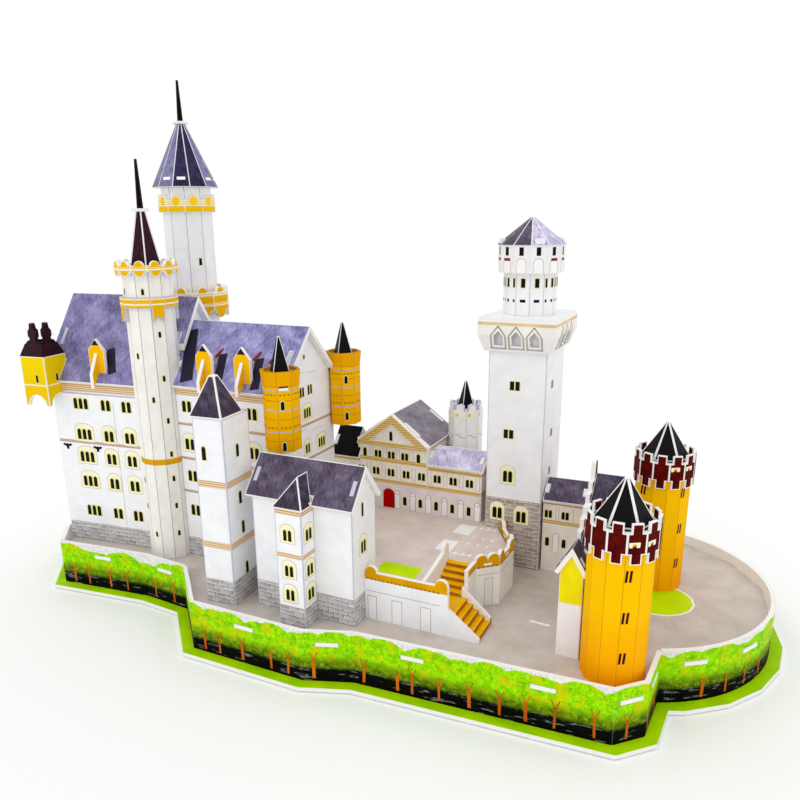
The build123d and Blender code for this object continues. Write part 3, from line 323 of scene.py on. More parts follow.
# %% Make one sheet for one card piece
ink_lift = 0.10 * mm
ink_sink = 0.03 * mm
sheets = []
wanted = {"all": lambda flat: True,
          "up": lambda flat: flat.normal.z > 0.1,
          "top": lambda flat: flat.normal.z > 0.99,
          "upright": lambda flat: abs(flat.normal.z) < 0.1,
          "out": lambda flat: flat.outward and flat.normal.z > -0.2}


def finish_piece(piece):
    """Let a piece ride with the castle."""
    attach(piece, "root")


def sheet(node, *storeys, margin=0.25, sides="out", label=None, pick=None):
    """Print on a card piece. Storeys are a print, its upper height in mm, the next print and so on."""
    prints, heights = storeys[::2], storeys[1::2]
    looks = list(dict.fromkeys(prints))
    made = bmesh.new()
    ruler = made.loops.layers.uv.new("rulers")
    for flat in flats[node]:
        if not wanted[sides](flat) or (pick and not pick(flat)):
            continue
        part = cut_paper(flat, margin, heights)
        for face in part.faces:
            height = face.calc_center_median().dot(flat.up) - flat.base
            look = next((name for name, top in zip(prints, heights) if height < top * mm), prints[-1])
            laid = made.faces.new([made.verts.new(v.co + flat.normal * ink_lift) for v in face.verts])
            laid.material_index = looks.index(look)
            for loop in laid.loops:
                co = loop.vert.co
                loop[ruler].uv = (co.dot(flat.right) - flat.left, co.dot(flat.up) - flat.base)
        part.free()
    bmesh.ops.remove_doubles(made, verts=made.verts, dist=weld / 8)
    mesh = bpy.data.meshes.new(label or "print_" + node)
    made.to_mesh(mesh)
    made.free()
    for look in looks:
        mesh.materials.append(materials[look])
    piece = bpy.data.objects.new(mesh.name, mesh)
    bpy.context.scene.collection.objects.link(piece)
    thickness = piece.modifiers.new("thickness", "SOLIDIFY")
    thickness.thickness = ink_lift + ink_sink
    thickness.offset = -1
    sheets.append(piece.name)
    finish_piece(piece)


# %% [markdown]
# ## Print recipes
#
# Each recipe below is one kind of offset print. Those for walls and roofs read the sheet's rulers, so a
# course of stone is as high on the castle as it is in this file. Inks that are stamped, and the print of
# the yard and the hedge, read the place on the castle instead. All sizes in them are millimetres.

# %% Recipes for plaster, stone and string courses
wash_size = 11.111
stone_patch = 3.125


def rulers(tree):
    """The sheet's own rulers, in millimetres."""
    uv = add(tree, "ShaderNodeUVMap", uv_map="rulers").outputs[0]
    return add(tree, "ShaderNodeVectorMath", {0: uv, "Scale": 1 / mm}, operation="SCALE").outputs[0]


def plaster(light, dark):
    """A wall ink with a soft wash in it."""
    def recipe(tree, place):
        wash = add(tree, "ShaderNodeTexNoise", {"Vector": rulers(tree), "Scale": 1 / wash_size,
                                                "Detail": 5.0, "Roughness": 0.6})
        return add(tree, "ShaderNodeValToRGB", {"Fac": wash.outputs[0]},
                   [(0.3, dark), (0.6, light)]).outputs[0]
    return recipe


def stone(light, dark, joint, course=2.4, length=5.6):
    """Courses of cut stone with pale joints, and dark dashes along the lower edge of some stones."""
    def recipe(tree, place):
        ruler = rulers(tree)
        sizes = {"Scale": 1.0, "Brick Width": length, "Row Height": course, "Bias": 0.0}
        bricks = add(tree, "ShaderNodeTexBrick", {"Vector": ruler, "Mortar Size": 0.26,
                                                  "Mortar Smooth": 0.3, "Color1": linear(light),
                                                  "Color2": linear(dark), "Mortar": linear(joint),
                                                  **sizes})
        shifted = add(tree, "ShaderNodeVectorMath", {0: ruler, 1: (0.30, 0.34, 0.0)}, operation="ADD")
        edges = add(tree, "ShaderNodeTexBrick", {"Vector": shifted.outputs[0], "Mortar Size": 0.17,
                                                 "Mortar Smooth": 0.2, **sizes})
        patches = add(tree, "ShaderNodeTexNoise", {"Vector": ruler, "Scale": 1 / stone_patch,
                                                   "Detail": 3.0})
        broken = add(tree, "ShaderNodeMapRange", {"Value": patches.outputs[0], "From Min": 0.34,
                                                  "From Max": 0.50})
        dashes = add(tree, "ShaderNodeMath", {0: edges.outputs["Fac"], 1: broken.outputs[0]},
                     operation="MULTIPLY")
        mixed = add(tree, "ShaderNodeMix", {0: dashes.outputs[0], 6: bricks.outputs[0],
                                            7: linear("#4E484A")}, data_type="RGBA")
        return mixed.outputs[2]
    return recipe


def pinstripe(light, dark, pitch=1.15):
    """A moulding: fine level lines of a darker ink on a lighter one."""
    def recipe(tree, place):
        height = add(tree, "ShaderNodeSeparateXYZ", {"Vector": rulers(tree)}).outputs["Y"]
        wave = add(tree, "ShaderNodeMath", {0: height, 1: pitch / 2}, operation="PINGPONG")
        share = add(tree, "ShaderNodeMath", {0: wave.outputs[0], 1: 2 / pitch}, operation="MULTIPLY")
        return add(tree, "ShaderNodeValToRGB", {"Fac": share.outputs[0]},
                   [(0.2, dark), (0.55, light)]).outputs[0]
    return recipe


# %% Offset prints for plaster, stone and string courses
# White plaster: the palest ink, faintly cool, with a wash that keeps a large wall from looking dead.
paper("white_plaster_print", plaster("#F7F8FA", "#EEEFF3"))
# Warm plaster: a touch of cream sets the stair tower and bastion off from the white house.
paper("warm_plaster_print", plaster("#F6F4EE", "#ECE9E0"))
# Cool plaster: a plain light grey, as on walls that turn from the light.
paper("cool_plaster_print", plaster("#F3F3F2", "#E8E8E9"))
# Grey stone: pale joints and short dark dashes read as rough blocks from afar.
paper("grey_stone_print", stone("#D2CFCE", "#A9A5A6", "#ECEAE8"))
# Brown stone: the same blocks in sandstone, warmer than the plaster above it.
paper("brown_stone_print", stone("#CFC3B8", "#A2958C", "#E6DED4"))
# Tan moulding: fine brown lines that read as a carved cornice.
paper("tan_course_print", pinstripe("#F0D5AC", "#B98A55"))
# Brown string course: two or three reddish lines, dull beside the gold.
paper("brown_course_print", pinstripe("#D9BCA8", "#A5745A", 0.9))
# Golden band: a flat deep yellow that catches the eye on white.
paper("gold_course_print", plaster("#E2A800", "#C88C00"), shine=0.04)
# Ochre moulding of the knights' house: broad lines, yellow-brown.
paper("ochre_course_print", pinstripe("#E6C67C", "#B98E40", 1.4))
# Cream band between gold ones: it makes them look like separate rings.
paper("cream_band_print", pinstripe("#FBF3D2", "#DDB860", 1.3))
# Pale gold edge of the cornice: hardly more than a warm tint.
paper("gold_pale_print", plaster("#E9CDA0", "#D9B786"))
# Lilac line: a cool thin shadow under a cornice or round a turret.
paper("lilac_course_print", plaster("#C9C2CF", "#ADA4B4"))
# Cream facade: a warm off-white that keeps the knights' house behind the palas.
paper("cream_facade_print", plaster("#F4F0E8", "#E8E2D6"))
# Lilac facade: its ground floor, a little pink and in shade.
paper("lilac_facade_print", plaster("#EBE4E4", "#DCD2D4"))
print("wall prints ready")

# %% Recipe and prints for slate and tile
blotch_size = 14.286
stroke_width = 0.7143


def slate(light, middle, dark, streak=0.22):
    """Printed slate: blotches, with fine streaks that run down the slope."""
    def recipe(tree, place):
        ruler = rulers(tree)
        blotch = add(tree, "ShaderNodeTexNoise", {"Vector": ruler, "Scale": 1 / blotch_size,
                                                  "Detail": 6.0, "Roughness": 0.65, "Distortion": 0.4})
        slender = add(tree, "ShaderNodeMapping", {"Vector": ruler,
                                                  "Scale": (1 / stroke_width, streak, 1.0)})
        strokes = add(tree, "ShaderNodeTexNoise", {"Vector": slender.outputs[0], "Scale": 1.0,
                                                   "Detail": 4.0, "Roughness": 0.75})
        both = add(tree, "ShaderNodeMath", {0: blotch.outputs[0], 1: strokes.outputs[0]},
                   operation="ADD")
        half = add(tree, "ShaderNodeMath", {0: both.outputs[0], 1: 0.5}, operation="MULTIPLY")
        return add(tree, "ShaderNodeValToRGB", {"Fac": half.outputs[0]},
                   [(0.36, dark), (0.48, middle), (0.62, light)]).outputs[0]
    return recipe


satin = 0.5
# Slate ink: violet grey in soft blotches, so that a big roof isn't one flat colour.
paper("slate_print", slate("#A9A5D2", "#7A75A2", "#4C4568"), satin)
# Pale blue slate: the same roof where it turns to the sky.
paper("pale_blue_slate_print", slate("#BAB9E6", "#8684B6", "#544F78"), satin)
# Dark slate: small roofs, nearly black in the shade, that look heavy on white walls.
paper("dark_slate_print", slate("#6A6074", "#40364A", "#221A28"), satin)
# Umber slate: brown-violet, weathered; on the square roof's front facets it also stands in as painted
# shade.
paper("umber_slate_print", slate("#80758C", "#554A5E", "#31283A"), satin)
# Grey slate: dull and light, so that the hall's roof stays in the background.
paper("grey_slate_print", slate("#A39CA6", "#837B88", "#5A5260"), satin)
# Pale slate: almost white streaks, a painted highlight as if the sun lay on it.
paper("pale_slate_print", slate("#F2F0FF", "#C4BEDC", "#7C7396"), satin)
# Blue slate: the lit facets of the tall cone.
paper("blue_slate_print", slate("#9A99BC", "#7A789C", "#55527A"), satin)
# Night slate: its shaded facets, deep blue, which make the cone look round.
paper("night_slate_print", slate("#4A4270", "#2A2446", "#14102A"), satin)
# Maroon tile: a red-black that only shows its red where light grazes it.
paper("maroon_tile_print", slate("#4C1A28", "#2C0C18", "#16060C"), satin)
# Black tile: the darkest ink, cut by white folds.
paper("black_tile_print", slate("#0C080A", "#060304", "#020101"), satin)
# Shadow ink: the printer's own dark shade beside a dormer and under a gable.
paper("shade_ink_print", slate("#3A3348", "#262034", "#171222"), satin)
# Maroon wall: blood red with black streaks, as on old brick.
paper("maroon_wall_print", slate("#74120A", "#4C0604", "#2C0202", 0.8), satin, shine=0.03)
print("roof prints ready")

# %% Recipe and prints for golden masonry


def masonry(high, low, joint, course, length, foot, head):
    """Golden wall that deepens from its head, at a height in mm, to its foot, a painted shade as of light
    from above, with faint joints.
    """
    def recipe(tree, place):
        ruler = rulers(tree)
        height = add(tree, "ShaderNodeSeparateXYZ", {"Vector": ruler}).outputs["Y"]
        share = add(tree, "ShaderNodeMapRange", {"Value": height, "From Min": foot, "From Max": head})
        # Painted shade: the wall's ink darkens from its head down to its foot.
        wall = add(tree, "ShaderNodeValToRGB", {"Fac": share.outputs[0]}, [(0.0, low), (1.0, high)])
        bricks = add(tree, "ShaderNodeTexBrick", {"Vector": ruler, "Scale": 1.0, "Mortar Size": 0.10,
                                                  "Mortar Smooth": 0.6, "Brick Width": length,
                                                  "Row Height": course})
        faint = add(tree, "ShaderNodeMath", {0: bricks.outputs["Fac"], 1: 0.35}, operation="MULTIPLY")
        mixed = add(tree, "ShaderNodeMix", {0: faint.outputs[0], 6: wall.outputs[0], 7: linear(joint)},
                    data_type="RGBA")
        return mixed.outputs[2]
    return recipe


# Gate gold: a saturated yellow that turns orange at the foot, so the towers look lit from above.
paper("gate_gold_print", masonry("#FDC400", "#FA9E00", "#E0A000", 16, 30, 22, 60), shine=0.03)
# The golds below deepen toward their foot in the same way: painted shade from above.
# Turret gold: amber with faint joints, like small bricks.
paper("turret_gold_print", masonry("#FAC000", "#F2AC00", "#D88A10", 5.2, 8, 90, 137), shine=0.03)
# Lemon gold: greener and brighter, on the one turret that hangs at the corner.
paper("lemon_gold_print", masonry("#F2D600", "#EAC000", "#E0B420", 6, 9, 108, 140), shine=0.04)
# Battlement gold: the rings at the tower heads, a shade paler than the turrets.
paper("battlement_gold_print", masonry("#F4C400", "#EAAE00", "#D09A10", 5, 7, 150, 240), shine=0.04)
# Yellow panel: a flat, clean yellow with no pattern to see.
paper("yellow_panel_print", plaster("#F8EC00", "#F0DE00"))
# Red door: the one strong red on the castle.
paper("red_door_print", plaster("#B80202", "#960000"), shine=0.03)
# Rust rail: a dark orange-brown, for thin rims round slits.
paper("rust_rail_print", plaster("#8E2608", "#6A1604"))
# Amber line: drawn ornament on gold, just dark enough to be seen.
paper("amber_line_print", plaster("#BE7C00", "#A06400"), shine=0.04)
print("gold and maroon prints ready")

# %% Recipe for plain inks, and prints for the yard and the stamps
ink_cloud = 14 * mm


def plain_ink(light, dark):
    """Ink in soft clouds, placed by where it is on the castle."""
    def recipe(tree, place):
        clouds = add(tree, "ShaderNodeTexNoise", {"Vector": place, "Scale": 1 / ink_cloud,
                                                  "Detail": 8.0, "Roughness": 0.62})
        return add(tree, "ShaderNodeValToRGB", {"Fac": clouds.outputs[0]},
                   [(0.35, dark), (0.62, light)]).outputs[0]
    return recipe


# Paved yard: a warm grey with soft stains, as of trodden sand.
paper("yard_print", plain_ink("#D1C8C0", "#C0B6AE"))
# Upper court: the same sand, lighter and a little pink.
paper("court_print", plain_ink("#E4D6CF", "#D5C5BD"))
# Grass: a bright yellow-green rim round the whole base.
paper("grass_print", plain_ink("#B6E400", "#9AD600"), satin, shine=0.04)
# Lawn: yellower still, so that it stands out from the hedge.
paper("lawn_print", plain_ink("#CCEC00", "#B6E000"), satin, shine=0.03)
# Stair treads: a warm yellow-orange with no joints.
paper("orange_tread_print", plain_ink("#F8BE00", "#E8A600"), shine=0.03)
# Bark: rust orange, which glows against the black earth.
paper("bark_print", plain_ink("#DC7410", "#B04C06"), shine=0.04)
# Window pane: solid black ink, slightly warm.
paper("black_pane_print", plain_ink("#0E0B06", "#050403"), satin)
# Window surround: a thin pale yellow rim, as of light behind the pane.
paper("glow_surround_print", plain_ink("#F3EFA2", "#E8DF7C"))
# Arch over a window: cream, hardly darker than the wall.
paper("pale_surround_print", plain_ink("#FBF8DC", "#F6F1C8"))
# Pencil line: the grey line round arches and blind doors.
paper("pencil_line_print", plain_ink("#B9B2A6", "#A39B92"))
# Rose line: a fainter, pinkish line for pilasters and cracks.
paper("rose_line_print", plain_ink("#D6C4BC", "#C3ABA4"))
# Warm white: the face of a blind door on warm plaster.
paper("warm_line_print", plain_ink("#F3F0E8", "#EAE6DC"))
# Blind grey: windows on a side in shade, without their yellow rim.
paper("blind_grey_print", plain_ink("#8F9190", "#74787A"))
# Gold spot: a clean yellow for discs and beads.
paper("gold_spot_print", plain_ink("#FFD418", "#F6C200"), shine=0.04)
# White: a tab of bare card that shows through its slot.
paper("white_print", plain_ink("#FAFAFA", "#F2F2F2"))
print("yard and stamp prints ready")

# %% Recipe and print for the hedge
clump_size = 3.3333
leaf_size = 1.3333
tint_patch = 6.25
tree_spacing = 13.333
stroke_length = 8.3333


def hedge(top, canopy, earth):
    """Round tree heads along the top, green under them and black earth with a few pale strokes.

    It reads the place on the castle instead of the rulers, so it runs on round the curved end."""
    def recipe(tree, place):
        spot = add(tree, "ShaderNodeVectorMath", {0: place, "Scale": 1 / mm}, operation="SCALE").outputs[0]
        height = add(tree, "ShaderNodeSeparateXYZ", {"Vector": spot}).outputs["Z"]
        plan = add(tree, "ShaderNodeMapping", {"Vector": spot, "Scale": (1.0, 1.0, 0.0)})
        clumps = add(tree, "ShaderNodeTexVoronoi", {"Vector": spot, "Scale": 1 / clump_size})
        leaves = add(tree, "ShaderNodeTexNoise", {"Vector": spot, "Scale": 1 / leaf_size,
                                                  "Detail": 5.0, "Roughness": 0.75})
        tint = add(tree, "ShaderNodeTexNoise", {"Vector": spot, "Scale": 1 / tint_patch, "Detail": 2.0})
        leaf = add(tree, "ShaderNodeMath", {0: clumps.outputs["Distance"], 1: 0.22,
                                            2: leaves.outputs[0]}, operation="MULTIPLY_ADD")
        # Three inks for the leaves: lit, deep, and a yellow glint on some of the lit ones.
        lights = add(tree, "ShaderNodeValToRGB", {"Fac": leaf.outputs[0]},
                     [(0.42, "#C2F400"), (0.56, "#9EE600"), (0.70, "#7CCB00"), (0.86, "#4E9A06")])
        deep = add(tree, "ShaderNodeValToRGB", {"Fac": leaf.outputs[0]},
                   [(0.42, "#9CC004"), (0.56, "#718F06"), (0.72, "#3E5C04")])
        glint = add(tree, "ShaderNodeMapRange", {"Value": tint.outputs[0], "From Min": 0.52,
                                                 "From Max": 0.66, "To Max": 0.62})
        warmed = add(tree, "ShaderNodeMix", {0: glint.outputs[0], 6: lights.outputs[0],
                                             7: linear("#DCC800")}, data_type="RGBA")
        # The heights where the round heads, the deep leaves and the earth end, each with a leafy edge.
        heads = add(tree, "ShaderNodeTexVoronoi", {"Vector": plan.outputs[0], "Scale": 1 / tree_spacing})
        dome = add(tree, "ShaderNodeMath", {0: heads.outputs["Distance"], 1: 2.0}, operation="POWER")
        drop = add(tree, "ShaderNodeMath", {0: dome.outputs[0], 1: 6.5, 2: height},
                   operation="MULTIPLY_ADD")
        crown = add(tree, "ShaderNodeMath", {0: leaves.outputs[0], 1: 2.6, 2: drop.outputs[0]},
                    operation="MULTIPLY_ADD")
        under = add(tree, "ShaderNodeMath", {0: leaves.outputs[0], 1: 7.0, 2: height},
                    operation="MULTIPLY_ADD")
        above = add(tree, "ShaderNodeMapRange", {"Value": crown.outputs[0], "From Min": top,
                                                 "From Max": top + 0.25})
        bright = add(tree, "ShaderNodeMapRange", {"Value": under.outputs[0], "From Min": canopy - 2.5,
                                                  "From Max": canopy + 2.0})
        leafy = add(tree, "ShaderNodeMapRange", {"Value": under.outputs[0], "From Min": earth - 0.8,
                                                 "From Max": earth + 0.8})
        # Black earth with short level strokes, and the inks stacked from the ground to the sky.
        level = add(tree, "ShaderNodeMapping", {"Vector": spot,
                                                "Scale": (1 / stroke_length, 1 / stroke_length, 0.9)})
        strokes = add(tree, "ShaderNodeTexNoise", {"Vector": level.outputs[0], "Scale": 1.0,
                                                   "Detail": 1.0})
        soil = add(tree, "ShaderNodeValToRGB", {"Fac": strokes.outputs[0]},
                   [(0.55, "#040404"), (0.64, "#1C1A1E"), (0.69, "#8E8C94"), (0.73, "#0A0A0A")])
        foot = add(tree, "ShaderNodeMix", {0: leafy.outputs[0], 6: soil.outputs[0], 7: deep.outputs[0]},
                   data_type="RGBA")
        trees = add(tree, "ShaderNodeMix", {0: bright.outputs[0], 6: foot.outputs[2],
                                            7: warmed.outputs[2]}, data_type="RGBA")
        sky = add(tree, "ShaderNodeValToRGB", {"Fac": leaves.outputs[0]},
                  [(0.4, "#D6D3D8"), (0.6, "#F3F2F2")])
        whole = add(tree, "ShaderNodeMix", {0: above.outputs[0], 6: trees.outputs[2], 7: sky.outputs[0]},
                    data_type="RGBA")
        return whole.outputs[2]
    return recipe


# Hedge: lit tree heads, deeper green below and black earth, which make a flat strip look like a wood.
paper("hedge_print", hedge(top=30.4, canopy=18.2, earth=12.8), shine=0.05)
print("hedge print ready,", len(materials), "materials in all")

# %% [markdown]
# ## Which print goes where
#
# The lists below are the heart of the lesson. They name every printed card piece, with its storeys from
# the ground up. The heights are real heights above the table, read from the model in the photograph.
# The card itself comes first: where two prints meet at a fold, the card's colour is the fold line, and on
# folded walls that line is painted shade in the crease.

# %% Colour the card pieces
# Folded walls, towers and gold card get a darker card colour: painted shade in their creases.
fold_pieces = {
    "crease_shade_lilac": ("square_drum", "round_tower", "white_tower", "square_tower", "stair_tower_corbel",
                          "kemenate_walls", "oriel_walls", "palas_west_walls", "palas_east_walls"),
    "crease_shade_grey": ("stair_tower", "north_tower"),
    "crease_shade_olive": ("gate_towers", "gable_turrets"),
    "inked_spike_card": ("spires",),
    "inked_finial_card": ("corner_turret_roof",)}
card_of = {name: card for card, names in fold_pieces.items() for name in names}
for name, node in nodes.items():
    card = materials[card_of.get(name, "foam_card_white")]
    if not node.material_slots:
        node.data.materials.append(card)
    for slot in node.material_slots:
        slot.material = card
print(len(card_of), "pieces with inked folds,", len(nodes) - len(card_of), "in plain white card")

# %% Lay the sheets on the palas and its towers
white, warm, cool = "white_plaster_print", "warm_plaster_print", "cool_plaster_print"
grey_stone, tan, brown = "grey_stone_print", "tan_course_print", "brown_course_print"
lilac, cream, gilt = "lilac_course_print", "cream_band_print", "battlement_gold_print"
front_only = 20


def coursed(wall, *courses):
    """Storeys of one wall print, broken by string courses: (print, lower height, upper height)."""
    storeys = []
    for course, low, high in courses:
        storeys += [wall, low, course, high]
    return storeys + [wall]


def roof(node, tile, margin=0.3, **more):
    """A sheet on every side of a roof that looks up."""
    sheet(node, tile, margin=margin, sides="up", **more)


def is_front(flat):
    return abs(flat.facing) < front_only


def is_not_front(flat):
    return not is_front(flat)


sheet("palas_west_walls", grey_stone, 34.5,
      *coursed(white, (brown, 85.8, 87.6), (lilac, 116.2, 117.2), (tan, 118.2, 124.4)))
east_courses = [(brown, 62.6, 64.2), (brown, 82.6, 84.2), (brown, 102.8, 104.4)]
sheet("palas_east_walls", grey_stone, 34.5, *coursed(white, *east_courses, (tan, 120.4, 125.0)),
      pick=is_front)
sheet("palas_east_walls", grey_stone, 34.5, *coursed(white, *east_courses), label="print_palas_east_gables",
      pick=is_not_front)
sheet("stair_tower", *coursed(warm, ("gold_course_print", 80.6, 84.0)), margin=0.16)
sheet("stair_tower_corbel", gilt, 170.3, cream, 171.6, gilt, 173.4, cream, margin=0.3)
sheet("stair_tower_battlement", *coursed(gilt, (cream, 188.5, 190.3)), margin=0.3, sides="upright")
roof("stair_tower_cone", "maroon_tile_print", 0.45)
sheet("north_tower", cool, margin=0.16)
sheet("north_balcony", *coursed(gilt, (cream, 161.6, 163.2), (cream, 167.4, 170.2)), margin=0.3,
      sides="upright")
sheet("north_gallery", gilt, 222.0, cream)
roof("north_roof", "night_slate_print", pick=lambda flat: 20 < flat.facing < 75)
roof("north_roof", "blue_slate_print", label="print_north_roof_sides",
     pick=lambda flat: not 20 < flat.facing < 75)
sheet("white_tower", grey_stone, 36.5, *coursed(white, (tan, 53.9, 57.4), (tan, 86.4, 89.9)), margin=0.6)
roof("white_tower_roof", "dark_slate_print", 0.75)
sheet("kemenate_walls", grey_stone, 37.5, white, margin=0.45, pick=is_not_front)
sheet("kemenate_walls", grey_stone, 37.5, white, 82.2, tan, margin=0.45, label="print_kemenate_front",
      pick=is_front)
roof("kemenate_roof", "umber_slate_print", 0.45)
sheet("oriel_walls", grey_stone, 33.5, *coursed(white, (tan, 59.0, 61.4), (tan, 81.0, 83.5)), margin=0.5)
roof("oriel_roof", "dark_slate_print", 0.55)
roof("palas_west_roof", "slate_print", 0.4)
roof("palas_east_roof", "pale_blue_slate_print", 0.4)
sheet("corner_turret", *coursed("lemon_gold_print", (cream, 122.0, 123.2)), margin=0.5)
sheet("corner_turret_roof", "maroon_tile_print", margin=0.1)
sheet("gable_turrets", *coursed("turret_gold_print", (lilac, 108.5, 109.2), (lilac, 119.9, 120.6),
                                (lilac, 130.2, 130.9)), margin=0.12)
roof("turret_spires", "black_tile_print", 0.35)
sheet("dormers", "turret_gold_print", 145.6, "maroon_tile_print", margin=0.3, sides="all")
sheet("spires", "white_print", margin=0.02, sides="all", label="print_spire_discs",
      pick=lambda flat: abs(flat.normal.z) > 0.5 or flat.high - flat.low < 1.3 * mm)
print(len(sheets), "sheets laid")

# %% Lay the sheets on the knights' house, the square tower and the gate
ochre, facade = "ochre_course_print", "cream_facade_print"
hall_foot = ("lilac_facade_print", 60.2, ochre, 62.6)
sheet("knights_hall", *hall_foot, *coursed(facade, (ochre, 73.2, 75.8), (ochre, 83.2, 86.2)))
sheet("knights_wings", *hall_foot, facade, 71.8, ochre)
sheet("knights_pediment", ochre, margin=0.3)
roof("knights_hall_roof", "grey_slate_print", 0.4)
# Painted shadow on the wing roofs: the west wing's roof is black tile for the shade it lies in, and the
# east wing's is pale slate.
roof("knights_wing_roofs", "pale_slate_print", 0.4, pick=lambda flat: flat.middle.x > 0)
roof("knights_wing_roofs", "black_tile_print", 0.1, label="print_west_wing_roof_painted_shadow",
     pick=lambda flat: flat.middle.x < 0)
sheet("round_tower", warm, margin=0.15)
sheet("square_tower", "brown_stone_print", 63.3, white, margin=0.4)
sheet("square_cornice", warm, 160.0, "gold_pale_print", 161.6, white, margin=0.2)
sheet("square_slab", white, margin=0.3)
for name in ("square_drum", "square_crown"):
    sheet(name, cool)
# Painted light on the square roof: its front facets take the darker umber slate as painted shade, and its
# right facets the pale slate as painted highlight.
roof("square_roof", "umber_slate_print", pick=lambda flat: flat.facing < 15)
roof("square_roof", "pale_slate_print", label="print_square_roof_painted_light",
     pick=lambda flat: flat.facing >= 15)
sheet("link_walls", *coursed(facade, (ochre, 51.4, 53.4), (ochre, 62.6, 65.0)))
roof("link_roof", "umber_slate_print", 0.35)
gate_foot = (white, 49.5)
sheet("gatehouse_walls", *gate_foot, "gold_course_print", 62.0, "maroon_wall_print", margin=0.3,
      sides="upright")
roof("gatehouse_roof", "dark_slate_print")
sheet("gate_lodge", *gate_foot, "yellow_panel_print")
roof("lodge_roof", "dark_slate_print")
sheet("gate_towers", "gate_gold_print", margin=0.1)
sheet("gate_collars", "maroon_wall_print", margin=0.5, sides="upright")
roof("gate_roofs", "black_tile_print", 0.75)
print(len(sheets), "sheets laid")

# %% Lay the sheets on the courts, the stairs and the skirt
parapet_foot = 44.6
for name, wall in (("terrace_wall", white), ("bastion_wall", warm)):
    sheet(name, wall, parapet_foot, "gold_course_print", margin=0.2, sides="upright")
for name in ("upper_stair", "lower_stair"):
    sheet(name, "orange_tread_print", margin=0.05, sides="up",
          pick=lambda flat: flat.area / flat.outline > 1.05 * mm)
    sheet(name, "amber_line_print", margin=0.05, sides="upright", label="print_%s_risers" % name,
          pick=lambda flat: 1.5 * mm < flat.high - flat.low < 5 * mm and flat.width > 9 * mm)
sheet("upper_court", "court_print", margin=0.4, sides="top")
sheet("court_wall", grey_stone, margin=0.4)
sheet("courtyard_floor", "yard_print", margin=0.5, sides="top")
sheet("base_plate", "grass_print", margin=0.1, sides="top")

yard_mesh = bmesh.new()
yard_mesh.from_mesh(nodes["courtyard_floor"].data)
yard_tree = BVHTree.FromBMesh(yard_mesh)
yard_mesh.free()
skirts = [name for name in sorted(nodes) if name.startswith("skirt_")]


def outside_yard(flat):
    """A skirt is printed on the side that looks away from the yard: no yard lies just in front of it."""
    probe = flat.middle + flat.normal * 4 * mm
    probe.z = 40 * mm
    return yard_tree.ray_cast(probe, Vector((0, 0, -1)), 30 * mm)[0] is None


for name in skirts:
    sheet(name, "hedge_print", margin=0.03, sides="upright", pick=outside_yard)
print(len(sheets), "sheets laid in all")

# %% [markdown]
# ## Windows as stamped ink
#
# A printed window is a flat patch of black ink with a round head, often with a pale surround behind it.
# There are hundreds, in a few sizes, which is exactly what Geometry Nodes are good at. Python makes a
# cloud of points with two attributes, a size and a turn. The tree draws one patch, scales and turns a
# copy on every point, makes the copies real and gives them their ink.

# %% The stamp tree
patch_corners = 16


